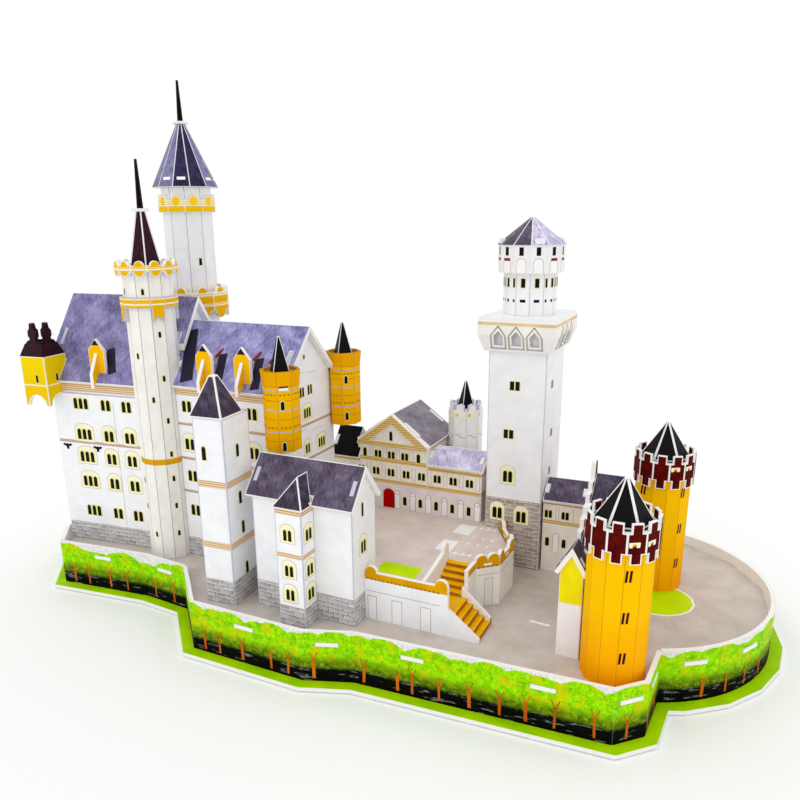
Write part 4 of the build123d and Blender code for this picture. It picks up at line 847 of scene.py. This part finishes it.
def stamp_tree():
    """A node tree that puts one patch of ink on every point."""
    tree = bpy.data.node_groups.new("stamped_ink", "GeometryNodeTree")
    for name, kind in (("Points", "Geometry"), ("Round head", "Float"), ("Ink thickness", "Float"),
                       ("Ink", "Material")):
        tree.interface.new_socket(name, in_out="INPUT", socket_type="NodeSocket" + kind)
    tree.interface.new_socket("Patches", in_out="OUTPUT", socket_type="NodeSocketGeometry")
    start = add(tree, "NodeGroupInput")
    round_head = start.outputs["Round head"]
    circle = add(tree, "GeometryNodeMeshCircle", {"Vertices": patch_corners, "Radius": 0.5},
                 fill_type="NGON")
    where = add(tree, "ShaderNodeSeparateXYZ", {0: add(tree, "GeometryNodeInputPosition").outputs[0]})
    x, y = where.outputs["X"], where.outputs["Y"]
    # The lower half of the circle becomes a square foot. The upper half keeps its round form, squeezed
    # into the share of the height that the head takes, so a head of 0 gives a plain rectangle.
    upper = add(tree, "ShaderNodeMath", {0: y, 1: -0.001}, operation="GREATER_THAN")
    hand = add(tree, "ShaderNodeMath", {0: x, 1: 0.0}, operation="SIGN")
    corner = add(tree, "ShaderNodeMath", {0: hand.outputs[0], 1: 0.5}, operation="MULTIPLY")
    new_x = add(tree, "ShaderNodeMix", {0: upper.outputs[0], 2: corner.outputs[0], 3: x})
    twice = add(tree, "ShaderNodeMath", {0: y, 1: 2.0}, operation="MULTIPLY")
    swell = add(tree, "ShaderNodeMath", {0: twice.outputs[0], 1: round_head}, operation="MULTIPLY")
    spring = add(tree, "ShaderNodeMath", {0: 0.5, 1: round_head}, operation="SUBTRACT")
    arch = add(tree, "ShaderNodeMath", {0: spring.outputs[0], 1: swell.outputs[0]}, operation="ADD")
    new_y = add(tree, "ShaderNodeMix", {0: upper.outputs[0], 2: -0.5, 3: arch.outputs[0]})
    spot = add(tree, "ShaderNodeCombineXYZ", {"X": new_x.outputs[0], "Y": new_y.outputs[0], "Z": 0.0})
    shaped = add(tree, "GeometryNodeSetPosition", {"Geometry": circle.outputs[0],
                                                   "Position": spot.outputs[0]})
    patch = add(tree, "GeometryNodeMergeByDistance", {"Geometry": shaped.outputs[0], "Distance": 0.001})
    # The patch gets its thickness and a turned copy of itself as its back, so the ink is closed.
    raised = add(tree, "GeometryNodeExtrudeMesh", {"Mesh": patch.outputs[0], "Offset": (0.0, 0.0, 1.0),
                                                   "Offset Scale": start.outputs["Ink thickness"],
                                                   "Individual": False})
    under = add(tree, "GeometryNodeFlipFaces", {"Mesh": patch.outputs[0]})
    both = add(tree, "GeometryNodeJoinGeometry")
    tree.links.new(raised.outputs["Mesh"], both.inputs[0])
    tree.links.new(under.outputs[0], both.inputs[0])
    closed = add(tree, "GeometryNodeMergeByDistance", {"Geometry": both.outputs[0], "Distance": 0.00001})
    size = add(tree, "GeometryNodeInputNamedAttribute", {"Name": "size"}, data_type="FLOAT_VECTOR")
    turn = add(tree, "GeometryNodeInputNamedAttribute", {"Name": "turn"}, data_type="FLOAT_VECTOR")
    spin = add(tree, "FunctionNodeEulerToRotation", {0: turn.outputs["Attribute"]})
    stamped = add(tree, "GeometryNodeInstanceOnPoints", {"Points": start.outputs["Points"],
                                                         "Instance": closed.outputs[0],
                                                         "Rotation": spin.outputs[0],
                                                         "Scale": size.outputs["Attribute"]})
    real = add(tree, "GeometryNodeRealizeInstances", {"Geometry": stamped.outputs[0]})
    inked = add(tree, "GeometryNodeSetMaterial", {"Geometry": real.outputs[0],
                                                  "Material": start.outputs["Ink"]})
    add(tree, "NodeGroupOutput", {"Patches": inked.outputs[0]})
    return tree


ink_tree = stamp_tree()
print("the stamp tree has", len(ink_tree.nodes), "nodes")

# %% Ask for patches of ink
stamps = {}
ink_layer = 0.04 * mm


def stamp(ink, flat, u, v, width, height, layer=1, head=0.0, tilt=0.0):
    """Ask for one patch of ink, given by its middle in millimetres on a flat side.

    Head is the share of its height that is round, and tilt turns it to the left, in degrees."""
    turn = (Matrix((flat.right, flat.up, flat.normal)).transposed()
            @ Matrix.Rotation(math.radians(tilt), 3, "Z")).to_euler()
    spot = flat.at(u * mm, v * mm, ink_lift + (layer - 1) * ink_layer)
    stamps.setdefault((ink, head), []).append((spot, (width * mm, height * mm, 1.0), turn))


def disc(ink, flat, u, v, width, height, layer=1):
    """A round patch: two half rounds, foot to foot."""
    for nudge, tilt in ((height / 4, 0), (-height / 4, 180)):
        stamp(ink, flat, u, v + nudge, width, height / 2, layer, 1.0, tilt)


def row(ink, flat, v, pitch, width, height, layer=1, head=0.0, inset=1.5):
    """A row of equal patches from one end of a flat side to the other."""
    room = flat.width / mm - 2 * inset
    count = max(int(room / pitch), 1)
    for n in range(count):
        stamp(ink, flat, inset + room * (n + 0.5) / count, v, width, height, layer, head)


def side(node, facing, near=None, slope=0):
    """The printed side of a card piece that looks nearest to a compass facing, in degrees.

    0 looks at the viewer, 90 to the right. Near picks one of several towers in one node.
    Slope is 0 for an upright side, 1 for one that leans up and -1 for one that leans down."""
    def miss(flat):
        away = abs((flat.facing - facing + 180) % 360 - 180)
        apart = (flat.middle - near).length / mm if near else 0
        return away + apart * 0.5 - flat.area * 1000
    leans = {f: 0 if abs(f.normal.z) < 0.1 else math.copysign(1, f.normal.z) for f in flats[node]}
    return min((f for f in flats[node] if f.outward and leans[f] == slope), key=miss)


# %% [markdown]
# ## Rows of windows
#
# A window is one to three black panes. The finer ones stand on a pale arched surround. The function below
# takes the middle of the window in millimetres, so that a row is one line with its first place, its pitch
# and its count. Layers keep the inks apart: the arch's line lies lowest and the panes lie on top.

# %% Windows of the palas
round_top = 0.22
wide_arch = 0.32
black, yellow, blank = "black_pane_print", "glow_surround_print", "white_print"
pencil, rose, amber, rust = "pencil_line_print", "rose_line_print", "amber_line_print", "rust_rail_print"


def window(flat, u, v, panes=2, pane=1.9, tall=6.0, gap=0.9, arched=False, head=round_top):
    """A window of several panes in a yellow surround, under a pale arch with a thin line round it."""
    pitch = pane + gap
    if arched:
        up, wide, high = v + tall * 0.16, panes * pitch, tall * 1.8
        stamp(pencil, flat, u, up, wide + 3.0, high, 1, wide_arch)
        stamp("pale_surround_print", flat, u, up, wide + 2.5, high - 0.5, 2, wide_arch)
    stamp(yellow, flat, u, v, panes * pitch + 0.1, tall + 0.7, 3, 0.15)
    for n in range(panes):
        stamp(black, flat, u + (n - (panes - 1) / 2) * pitch, v, pane, tall, 4, head)


# The west block stands turned a little against the east block.
west_turn = 6.4
palas_panes = {"pane": 2.5, "tall": 6.4, "gap": 1.2}
west_front = side("palas_west_walls", west_turn)
for level, arched in ((110.6, False), (91.8, True), (77.7, True), (62.2, True), (43.1, False)):
    for at, panes in ((19.4, 3), (37.2, 2), (51.8, 2)):
        window(west_front, at, level, panes, arched=arched, **palas_panes)

# Two winged black ornaments hang under the string course.
wing_lean = 24
for at in (5.6, 27.8):
    stamp(black, west_front, at, 83.2, 1.8, 3.6, 2, 0.4)
    for tilt in (-wing_lean, wing_lean):
        stamp(black, west_front, at + tilt / 16, 84.0, 3.2, 1.5, 3, 0.4, tilt)
for top, foot in ((112.0, 88.5), (85.0, 36.0)):
    stamp(rose, west_front, 42.6, (top + foot) / 2, 0.3, top - foot)
row(rose, west_front, 118.0, 1.3, 0.7, 0.7, 2)

east_front = side("palas_east_walls", 0)
east_bay = 14.75
for level in (114.0, 92.0, 73.0, 52.0):
    for n in range(4):
        window(east_front, 7.3 + east_bay * n, level, arched=level == 92.0, **palas_panes)
east_gable = side("palas_east_walls", 90)
for at, level, panes, arched in ((22.4, 122.8, 2, False), (30.6, 123.0, 2, False), (27.0, 110.4, 3, True),
                                 (26.0, 89.9, 2, True), (41.0, 89.9, 3, True)):
    window(east_gable, at, level, panes, 1.7, 5.4, 0.8, arched)
window(east_gable, 26.0, 141.8, 1, 1.4, 2.2, 0.6, head=0.0)
for at, level, wide in ((34.0, 132.4, 9), (24.0, 133.6, 6), (20.0, 101.0, 12), (38.0, 99.0, 10)):
    stamp(rose, east_gable, at, level, wide, 0.3)
print("palas:", len(stamps[black, round_top]), "round-headed panes")

# %% Windows, discs and tabs of the round towers
stair_windows = {60: (154.5, 130.2, 106.2, 86.7, 72.0, 55.5, 38.4), 30: (177.5, 118.7), 0: (143.0, 38.1),
                 -30: (177.5, 70.4, 54.3)}
for facing, levels in stair_windows.items():
    for level in levels:
        wall = side("stair_tower", facing)
        window(wall, wall.centre, level, 1, 1.4, 3.2, 0.5)
for facing, nudge in ((-18, 0.0), (54, 1.9)):
    wall = side("north_tower", facing)
    window(wall, wall.centre + nudge, 189.0, 1, 1.7, 4.2, 0.5, head=0.0)
gallery_facets = 10
for n in range(gallery_facets):
    wall = side("north_gallery", 18 + n * 360 / gallery_facets)
    disc("gold_spot_print", wall, wall.centre, 225.4, 5.0, 5.4)
roof_facets = 12
for n in range(roof_facets):
    if n % 3 != 2:
        slope = side("north_roof", 3 + n * 360 / roof_facets, slope=1)
        stamp(blank, slope, slope.centre, 5.4, 5.0, 1.9)

# %% Windows of the white tower and the kemenate
white_turn = 3.8
window(side("white_tower", white_turn), 5.5, 104.0, 1, 2.3, 7.0, 0.4)
for at, level in ((11.0, 103.8), (10.6, 79.0), (11.4, 62.8), (12.3, 39.6)):
    window(side("white_tower", white_turn + 90), at, level, 1, 2.3, 6.6, 0.4)
for level in (70.6, 52.2, 39.6):
    for facing, at, pane in ((0, 6.7, 1.8), (90, 5.7, 2.0)):
        window(side("oriel_walls", facing), at, level, 2, pane, 5.6, 0.9, True)
kemenate_right = side("kemenate_walls", 90)
window(kemenate_right, 10.2, 80.9, 1, 1.8, 7.0, 0.4)
window(kemenate_right, 10.3, 61.7, 2, 1.9, 6.2, 0.8, True)

# %% Masonry lines of the hanging turrets, and the shades on the roofs
turret_places = [Vector((-36.6, -44, 115)) * mm, Vector((-33.8, 16.8, 115)) * mm]
for place, levels, slot_at in zip(turret_places, ((122.9, 101.2), (125.0, 103.4)), (132.2, 135.6)):
    for facing in range(0, 360, 45):
        wall = side("gable_turrets", facing, place)
        for level in (128.4, 111.2):
            row(amber, wall, level, 1.8, 1.3, 0.8, 1, 0.5, 0.5)
        for level in (115.6, 125.4, 104.0):
            stamp(amber, wall, wall.centre, level, 6.4, 0.22)
    wall = side("gable_turrets", 45, place)
    for level in levels:
        window(wall, wall.centre - 1.2, level, 1, 1.9, 4.6, 0.5, head=0.3)
    stamp(blank, wall, wall.centre - 0.3, slot_at - 0.8, 4.8, 1.6)
    stamp(black, wall, wall.centre - 0.3, slot_at + 0.3, 4.8, 0.8, 2)
for turn, at in ((0, 10.6), (90, 8.2)):
    window(side("corner_turret", west_turn + turn), at, 126.8, 1, 1.5, 4.4, 0.3)

east_slope = side("palas_east_roof", 0, slope=1)
west_slope = side("palas_west_roof", west_turn, slope=1)
for slope, u, v, wide, tall, tilt in (
        (east_slope, 9.6, 20.6, 8.0, 36.0, 20), (east_slope, 34.8, 13.0, 5.4, 21.0, 14),
        (east_slope, 59.4, 12.4, 5.4, 20.0, 14), (west_slope, 44.6, 14.6, 5.4, 17.0, 22)):
    stamp("shade_ink_print", slope, u, v, wide, tall, tilt=tilt)
for u, v in ((29.5, 23.6), (55.1, 23.6), (65.9, 22.6)):
    stamp(rust, east_slope, u, v, 2.2, 7.0, 2, 0.5, -24)
print("windows so far:", sum(len(v) for k, v in stamps.items() if k[0] == black), "panes")

# %% Windows, niches and arches of the square tower
square_front = side("square_tower", 0)
for at, level in ((14.7, 127.6), (12.1, 100.7)):
    window(square_front, at, level, 2, 2.3, 4.8, 0.7, head=0.0)
for at, level, pane in ((12.4, 76.4, 2.2), (7.0, 54.3, 2.3), (20.8, 53.7, 2.3)):
    window(square_front, at, level, 2, pane, 6.4, 0.7, True)
for at, level in ((13.0, 127.5), (16.2, 99.8), (16.0, 77.7)):
    stamp("blind_grey_print", side("square_tower", 90), at, level, 4.2, 4.4)

niche_pitch, niche_half, frame_line = 9.7, 3.9, 0.8
for facing in (0, 90, 180, -90):
    lower = side("square_cornice", facing, slope=-1)
    upper = side("square_cornice", facing)
    for n in (-1, 0, 1):
        at = lower.centre + n * niche_pitch
        for half in (-1, 1):
            stamp(pencil, lower, at + half * niche_half, 5.2, frame_line, 7.4)
            stamp(pencil, upper, at + half * niche_half / 2, 157.1, frame_line, 6.4, tilt=half * 38)
        stamp(pencil, lower, at, 1.9, 2 * niche_half + frame_line, frame_line)

# The pair of facets in front and the pair behind have one broad opening, the others have two slits.
for facing in range(-30, 330, 30):
    drum, crown = side("square_drum", facing), side("square_crown", facing)
    broad = facing in (0, 30, 180, 210)
    for nudge in (0.0,) if broad else (-2.1, 2.1):
        window(drum, drum.centre + nudge, 181.0, 1, 2.2 if broad else 1.4, 4.6, 0.4, head=0.0)
        stamp(black, drum, drum.centre + nudge, 171.8, 3.0 if broad else 1.3, 1.5)
    at = crown.centre - 0.6
    stamp(black, crown, at, 197.0, 2.3, 4.2)
    stamp(rose, crown, at, 189.9, 5.6, 7.6, 1, wide_arch)
    stamp(blank, crown, at, 189.7, 4.9, 7.2, 2, wide_arch)
    if not broad:
        stamp(rust, crown, at + 0.2, 192.9, 4.4, 1.4, 3)
print("square tower stamped")

# %% Windows of the knights' house, its niches and the door
hall_front = side("knights_hall", 0)
east_wing = side("knights_wings", 0, Vector((39, 23, 65)) * mm)
hall_end, wing_start = 43, 44.4
hall_bay, blind_head = 8.85, 0.16


def along_hall(at):
    """The hall's front runs on into the east wing: the wall that holds a place, and the place on it."""
    return (hall_front, at) if at < hall_end else (east_wing, at - wing_start)


for n in range(5):
    panes, pane, tall = (1, 2.2, 5.4) if n in (0, 4) else (2, 1.9, 4.4)
    window(hall_front, 3.2 + hall_bay * n, 78.3, panes, pane, tall, 0.6)
    for nudge in (-1.0, 1.0) if n < 4 else ():
        stamp(rose, hall_front, 7.6 + hall_bay * n + nudge, 79.4, 0.3, 7.0)
window(hall_front, 20.8, 90.1, 1, 1.9, 5.6, 0.3)
for n in range(8):
    wall, at = along_hall(0.6 + 10.0 * n)
    window(wall, at, 67.3, 2, 1.9, 4.6, 0.6)
    for nudge in (3.9, 6.1):
        stamp(rose, wall, at + nudge, 67.6, 0.3, 9.4)
for n in range(6):
    wall, at = along_hall(29.6 + 10.2 * n)
    if n < 5:
        window(wall, at, 50.3, 1, 2.3, 5.4, 0.4)
    stamp(pencil, wall, at - 5.0, 50.6, 3.8, 11.6, 1, blind_head)
    stamp(blank, wall, at - 5.0, 50.5, 3.1, 11.0, 2, blind_head)
    stamp(rose, wall, at - 5.0, 54.2, 3.4, 0.4, 3)
stamp("red_door_print", hall_front, 19.0, 50.6, 7.6, 12.6, 3, 0.26)
stamp(rust, hall_front, 19.0, 50.2, 0.3, 11.6, 4)
rake = 34
for half in (-1, 1):
    for n in range(9):
        stamp("blind_grey_print", hall_front, 21.6 + half * (1.4 + 1.9 * n), 97.6 - 1.26 * n, 1.2, 0.6,
              tilt=-half * rake)
print("knights' hall stamped")

# %% The round tower and the link
for facing in range(0, 360, 45):
    wall = side("round_tower", facing)
    disc("gold_spot_print", wall, 1.8, 100.4, 2.4, 2.4)
    for at, level, wide, tall in ((2.2, 88.0, 3.4, 0.35), (5.8, 86.6, 3.4, 0.35), (4.0, 87.3, 0.35, 1.6)):
        stamp(pencil, wall, at, level, wide, tall)
link_front = side("link_walls", 2)
for at in (3.0, 12.2):
    window(link_front, at, 57.0, 2, 1.7, 4.4, 0.5)
    window(link_front, at, 40.5, 1, 2.1, 5.0, 0.4)
stamp(rose, link_front, 7.7, 40.2, 3.6, 12.0, 1, blind_head)
stamp(blank, link_front, 7.7, 40.1, 2.8, 11.4, 2, blind_head)
for at in (7.0, 8.6, 16.6):
    stamp(rose, link_front, at, 57.2, 0.4, 8.0)
print("round tower and link stamped")

# %% The gate towers and their collars
gate_places = [Vector((140.9, -61.7, 60)) * mm, Vector((146.4, 35, 60)) * mm]
slit_lean = -4
for place, facings, levels in zip(gate_places, ((30, 150, 270), (60, -30, 180)),
                                  ((75.0, 56.3, 37.6), (77.9, 58.1, 38.7))):
    for facing in facings:
        wall = side("gate_towers", facing, place)
        for level in levels:
            for at in (1.0, 2.8):
                stamp(rust, wall, at, level, 1.1, 5.2, tilt=slit_lean)
                stamp(black, wall, at, level, 0.7, 4.8, 2, tilt=slit_lean)
for place, level in zip(gate_places, (89.6, 91.6)):
    for facing in (30, 60):
        wall = side("gate_collars", facing, place)
        stamp("pale_surround_print", wall, 3.0, level, 4.6, 1.6)
        for at in (1.5, 4.5):
            stamp("pale_surround_print", wall, at, level - 0.6, 1.4, 1.6, 2, 0.5)
        stamp("gold_course_print", wall, 3.0, level - 0.4, 1.6, 0.8, 3)
print("gate stamped")

# %% Doors and mouldings of the terrace and bastion
terrace = side("terrace_wall", 0)
yard_level, terrace_door = 22.8, 12.6
bead_level, bead_pitch, bead = 44.9, 2.2, (1.7, 1.0)
for at, wide in ((4.0, 5.0), (17.4, 5.6), (32.6, 5.6)):
    stamp(pencil, terrace, at, yard_level + terrace_door / 2 + 0.4, wide, terrace_door)
    stamp(blank, terrace, at, yard_level + terrace_door / 2 + 0.2, wide - 0.6, terrace_door - 0.3, 2)
stamp(pencil, terrace, 20.5, 38.3, 39.0, 0.3)
for n in range(18):
    stamp(amber, terrace, 1.5 + bead_pitch * n, bead_level, *bead, 1, 0.5)
for facing, doors in ((43.5, (7.4,)), (88, ()), (120, (8.0, 17.0)), (-60, (8.0, 17.0))):
    wall = side("bastion_wall", facing)
    stamp(pencil, wall, wall.centre, 40.6, wall.width / mm - 1.6, 0.3)
    row(amber, wall, bead_level, bead_pitch, *bead, 1, 0.5, 0.6)
    stamp(blank, wall, wall.centre, 46.2, 4.6, 1.2, 2)
    for at in doors:
        stamp(pencil, wall, at, 30.8, 4.6, 15.4)
        stamp("warm_line_print", wall, at, 30.7, 4.1, 15.0, 2)
print("terrace and bastion stamped")

# %% Court markings, lawns and slots
court_top, yard_top = (max((f for f in flats[name] if f.normal.z > 0.9), key=lambda f: f.area)
                       for name in ("upper_court", "courtyard_floor"))
# On a level side the rulers are the castle's own x and y.
stamp(blank, court_top, 45.7, 9.6, 9.6, 13.2)
stamp(blank, court_top, 44.4, -14.0, 8.6, 14.0)
for y, places in ((15.0, range(50, 66, 4)), (-21.4, range(48, 64, 4))):
    stamp(blank, court_top, sum(places) / len(places), y, 14.0, 0.9)
    for x in places:
        stamp(blank, court_top, x, y, 1.0, 4.2, 2)
for y in (1.4, -7.4):
    for n in range(3):
        disc(blank, court_top, 54.3 + 5.3 * n, y, 1.8, 1.9)
stamp("lawn_print", court_top, 33.4, -51.0, 21.5, 11.6)
lawn_at, lawn_size, lawn_edge = (150.6, 13.6), (35.2, 33.4), 2.2
disc(blank, yard_top, *lawn_at, *(size + lawn_edge for size in lawn_size))
disc("lawn_print", yard_top, *lawn_at, *lawn_size, 2)
for x, y, tilt in ((101.9, -35.5, -4), (72.0, -53.0, 0), (-20, -94, -8)):
    stamp(blank, yard_top, x, y, 10.0, 1.8, tilt=tilt)
print("court marked")

# %% Tree trunks along the skirt
dice = random.Random(5)
trunk_pitch, curved_width, trunk_foot = 13, 12, 3.6
for name in skirts:
    tall_sides = [f for f in flats[name]
                  if abs(f.normal.z) < 0.1 and f.high - f.low > 15 * mm and outside_yard(f)]
    for place, flat in enumerate(sorted(tall_sides, key=lambda f: f.facing)):
        length = flat.width / mm
        straight = length >= curved_width
        for n in range(int(length / trunk_pitch) if straight else place % 4 == 1):
            at = (n + 0.5) * trunk_pitch + dice.uniform(-3, 3) if straight else length / 2
            tall = dice.uniform(7.5, 10.5)
            stamp("bark_print", flat, at, trunk_foot + tall / 2, dice.uniform(0.9, 1.6), tall,
                  tilt=dice.uniform(-3, 3))
            for lean in (-1, 1) if straight else ():
                stamp("bark_print", flat, at - lean * 1.1, 5.2 + tall, 0.6, 4.4, tilt=lean * 22)
print("trunks stamped")

# %% Press the ink
sockets = {item.name: item.identifier for item in ink_tree.interface.items_tree if item.in_out == "INPUT"}


def press(ink, head, places):
    """Turn the asked-for patches of one ink into a plain mesh that rides with the castle."""
    label = "ink_%s_%d" % (ink, round(head * 100))
    cloud = bpy.data.meshes.new(label + "_points")
    cloud.from_pydata([spot for spot, _, _ in places], [], [])
    for name, index in (("size", 1), ("turn", 2)):
        layer = cloud.attributes.new(name, "FLOAT_VECTOR", "POINT")
        layer.data.foreach_set("vector", [n for place in places for n in place[index]])
    holder = bpy.data.objects.new(label + "_holder", cloud)
    bpy.context.scene.collection.objects.link(holder)
    modifier = holder.modifiers.new("stamp", "NODES")
    modifier.node_group = ink_tree
    for name, value in (("Round head", head), ("Ink thickness", ink_layer), ("Ink", materials[ink])):
        modifier[sockets[name]] = value
    graph = bpy.context.evaluated_depsgraph_get()
    mesh = bpy.data.meshes.new_from_object(holder.evaluated_get(graph))
    bpy.data.objects.remove(holder)
    piece = bpy.data.objects.new(label, mesh)
    bpy.context.scene.collection.objects.link(piece)
    finish_piece(piece)
    print(label, len(mesh.polygons), "faces")


for (ink, head), places in stamps.items():
    press(ink, head, places)

# %% [markdown]
# ## Floor, light and camera
#
# The photograph has a white ground and soft light with hardly a shadow. A bright even sky gives most of
# the light, and one wide lamp from the upper left gives the walls their slightly different greys. The
# ground is matt, and far from the castle it glows, but only for what looks at it: it lights nothing.

# %% White ground and sky


def looked_at(tree):
    """1 where the camera, a reflection or a see-through edge looks at it, 0 for the light it gives."""
    rays = add(tree, "ShaderNodeLightPath").outputs
    direct = add(tree, "ShaderNodeMath", {0: rays["Is Camera Ray"], 1: rays["Is Glossy Ray"]},
                 operation="MAXIMUM")
    return add(tree, "ShaderNodeMath", {0: direct.outputs[0], 1: rays["Is Transmission Ray"]},
               operation="MAXIMUM").outputs[0]


floor_mesh = bpy.data.meshes.new("floor")
ground = bmesh.new()
bmesh.ops.create_circle(ground, cap_ends=True, segments=96, radius=6.0)
ground.to_mesh(floor_mesh)
ground.free()
floor = bpy.data.objects.new("floor", floor_mesh)
# Half a millimetre down, so that the floor and the base plate don't flicker through each other.
floor.location.z = -0.5 * mm
bpy.context.scene.collection.objects.link(floor)
# White studio paper: matt near the castle, so that it holds the shadow, and pure white further out.
floor_material = bpy.data.materials.new("white_ground")
floor_material.use_nodes = True
tree = floor_material.node_tree
tree.nodes.clear()
spot = add(tree, "ShaderNodeTexCoord").outputs["Object"]
distance = add(tree, "ShaderNodeVectorMath", {0: spot}, operation="LENGTH")
far = add(tree, "ShaderNodeMapRange", {"Value": distance.outputs["Value"], "From Min": 0.25,
                                       "From Max": 0.7}, interpolation_type="SMOOTHSTEP")
bright = add(tree, "ShaderNodeMath", {0: far.outputs[0], 1: looked_at(tree)}, operation="MULTIPLY")
matt = add(tree, "ShaderNodeBsdfDiffuse", {"Color": linear("#F7F7F7")})
glow = add(tree, "ShaderNodeEmission", {"Color": linear("#FFFFFF"), "Strength": 1.0})
both = add(tree, "ShaderNodeMixShader", {0: bright.outputs[0], 1: matt.outputs[0], 2: glow.outputs[0]})
add(tree, "ShaderNodeOutputMaterial", {"Surface": both.outputs[0]})
floor_mesh.materials.append(floor_material)

sky_level = 1.06
world = bpy.data.worlds.new("studio")
bpy.context.scene.world = world
world.use_nodes = True
tree = world.node_tree
tree.nodes.clear()
level = add(tree, "ShaderNodeMapRange", {"Value": looked_at(tree), "To Min": sky_level, "To Max": 1.0})
sky = add(tree, "ShaderNodeBackground", {"Color": linear("#FFFFFF"), "Strength": level.outputs[0]})
add(tree, "ShaderNodeOutputWorld", {"Surface": sky.outputs[0]})

lamp_data = bpy.data.lights.new("soft_lamp", "SUN")
lamp_data.energy = 0.16
lamp_data.angle = math.radians(30)
lamp = bpy.data.objects.new("soft_lamp", lamp_data)
lamp_from = Vector((-0.45, -1.0, 1.25))
lamp.rotation_euler = lamp_from.to_track_quat("Z", "Y").to_euler()
bpy.context.scene.collection.objects.link(lamp)
print("sky at", sky_level, "and lamp at", round(lamp_data.energy, 2))

# %% [markdown]
# ## Where the camera stands
#
# The camera stands where the photographer stood, worked out from the model's own corners: it looks down
# by sixteen degrees, from a little right of the front. Its axis isn't the middle of the picture, so the
# lens is shifted.

# %% The photographer's camera
image_size = 800
focal_pixels = 741.82
look_down = math.radians(16.143)
look_left = math.radians(25.421)
roll = math.radians(0.515)
image_middle = (399.03, 436.23)
camera_at = Vector((179.149, -356.313, 212.247)) * mm

forward = Vector((-math.sin(look_left) * math.cos(look_down), math.cos(look_left) * math.cos(look_down),
                  -math.sin(look_down)))
level_right = Vector((math.cos(look_left), math.sin(look_left), 0))
level_down = forward.cross(level_right)
right = level_right * math.cos(roll) + level_down * math.sin(roll)
down = level_down * math.cos(roll) - level_right * math.sin(roll)
camera_data = bpy.data.cameras.new("camera")
camera_data.sensor_width = 36
camera_data.lens = focal_pixels / image_size * camera_data.sensor_width
camera_data.shift_x = -(image_middle[0] - image_size / 2) / image_size
camera_data.shift_y = (image_middle[1] - image_size / 2) / image_size
camera_data.clip_start = 0.01
camera = bpy.data.objects.new("camera", camera_data)
camera.matrix_world = Matrix.Translation(camera_at) @ Matrix((right, -down, -forward)).transposed().to_4x4()
bpy.context.scene.collection.objects.link(camera)
bpy.context.scene.camera = camera
bpy.context.scene.view_settings.view_transform = "Standard"
print("camera at", camera_at)
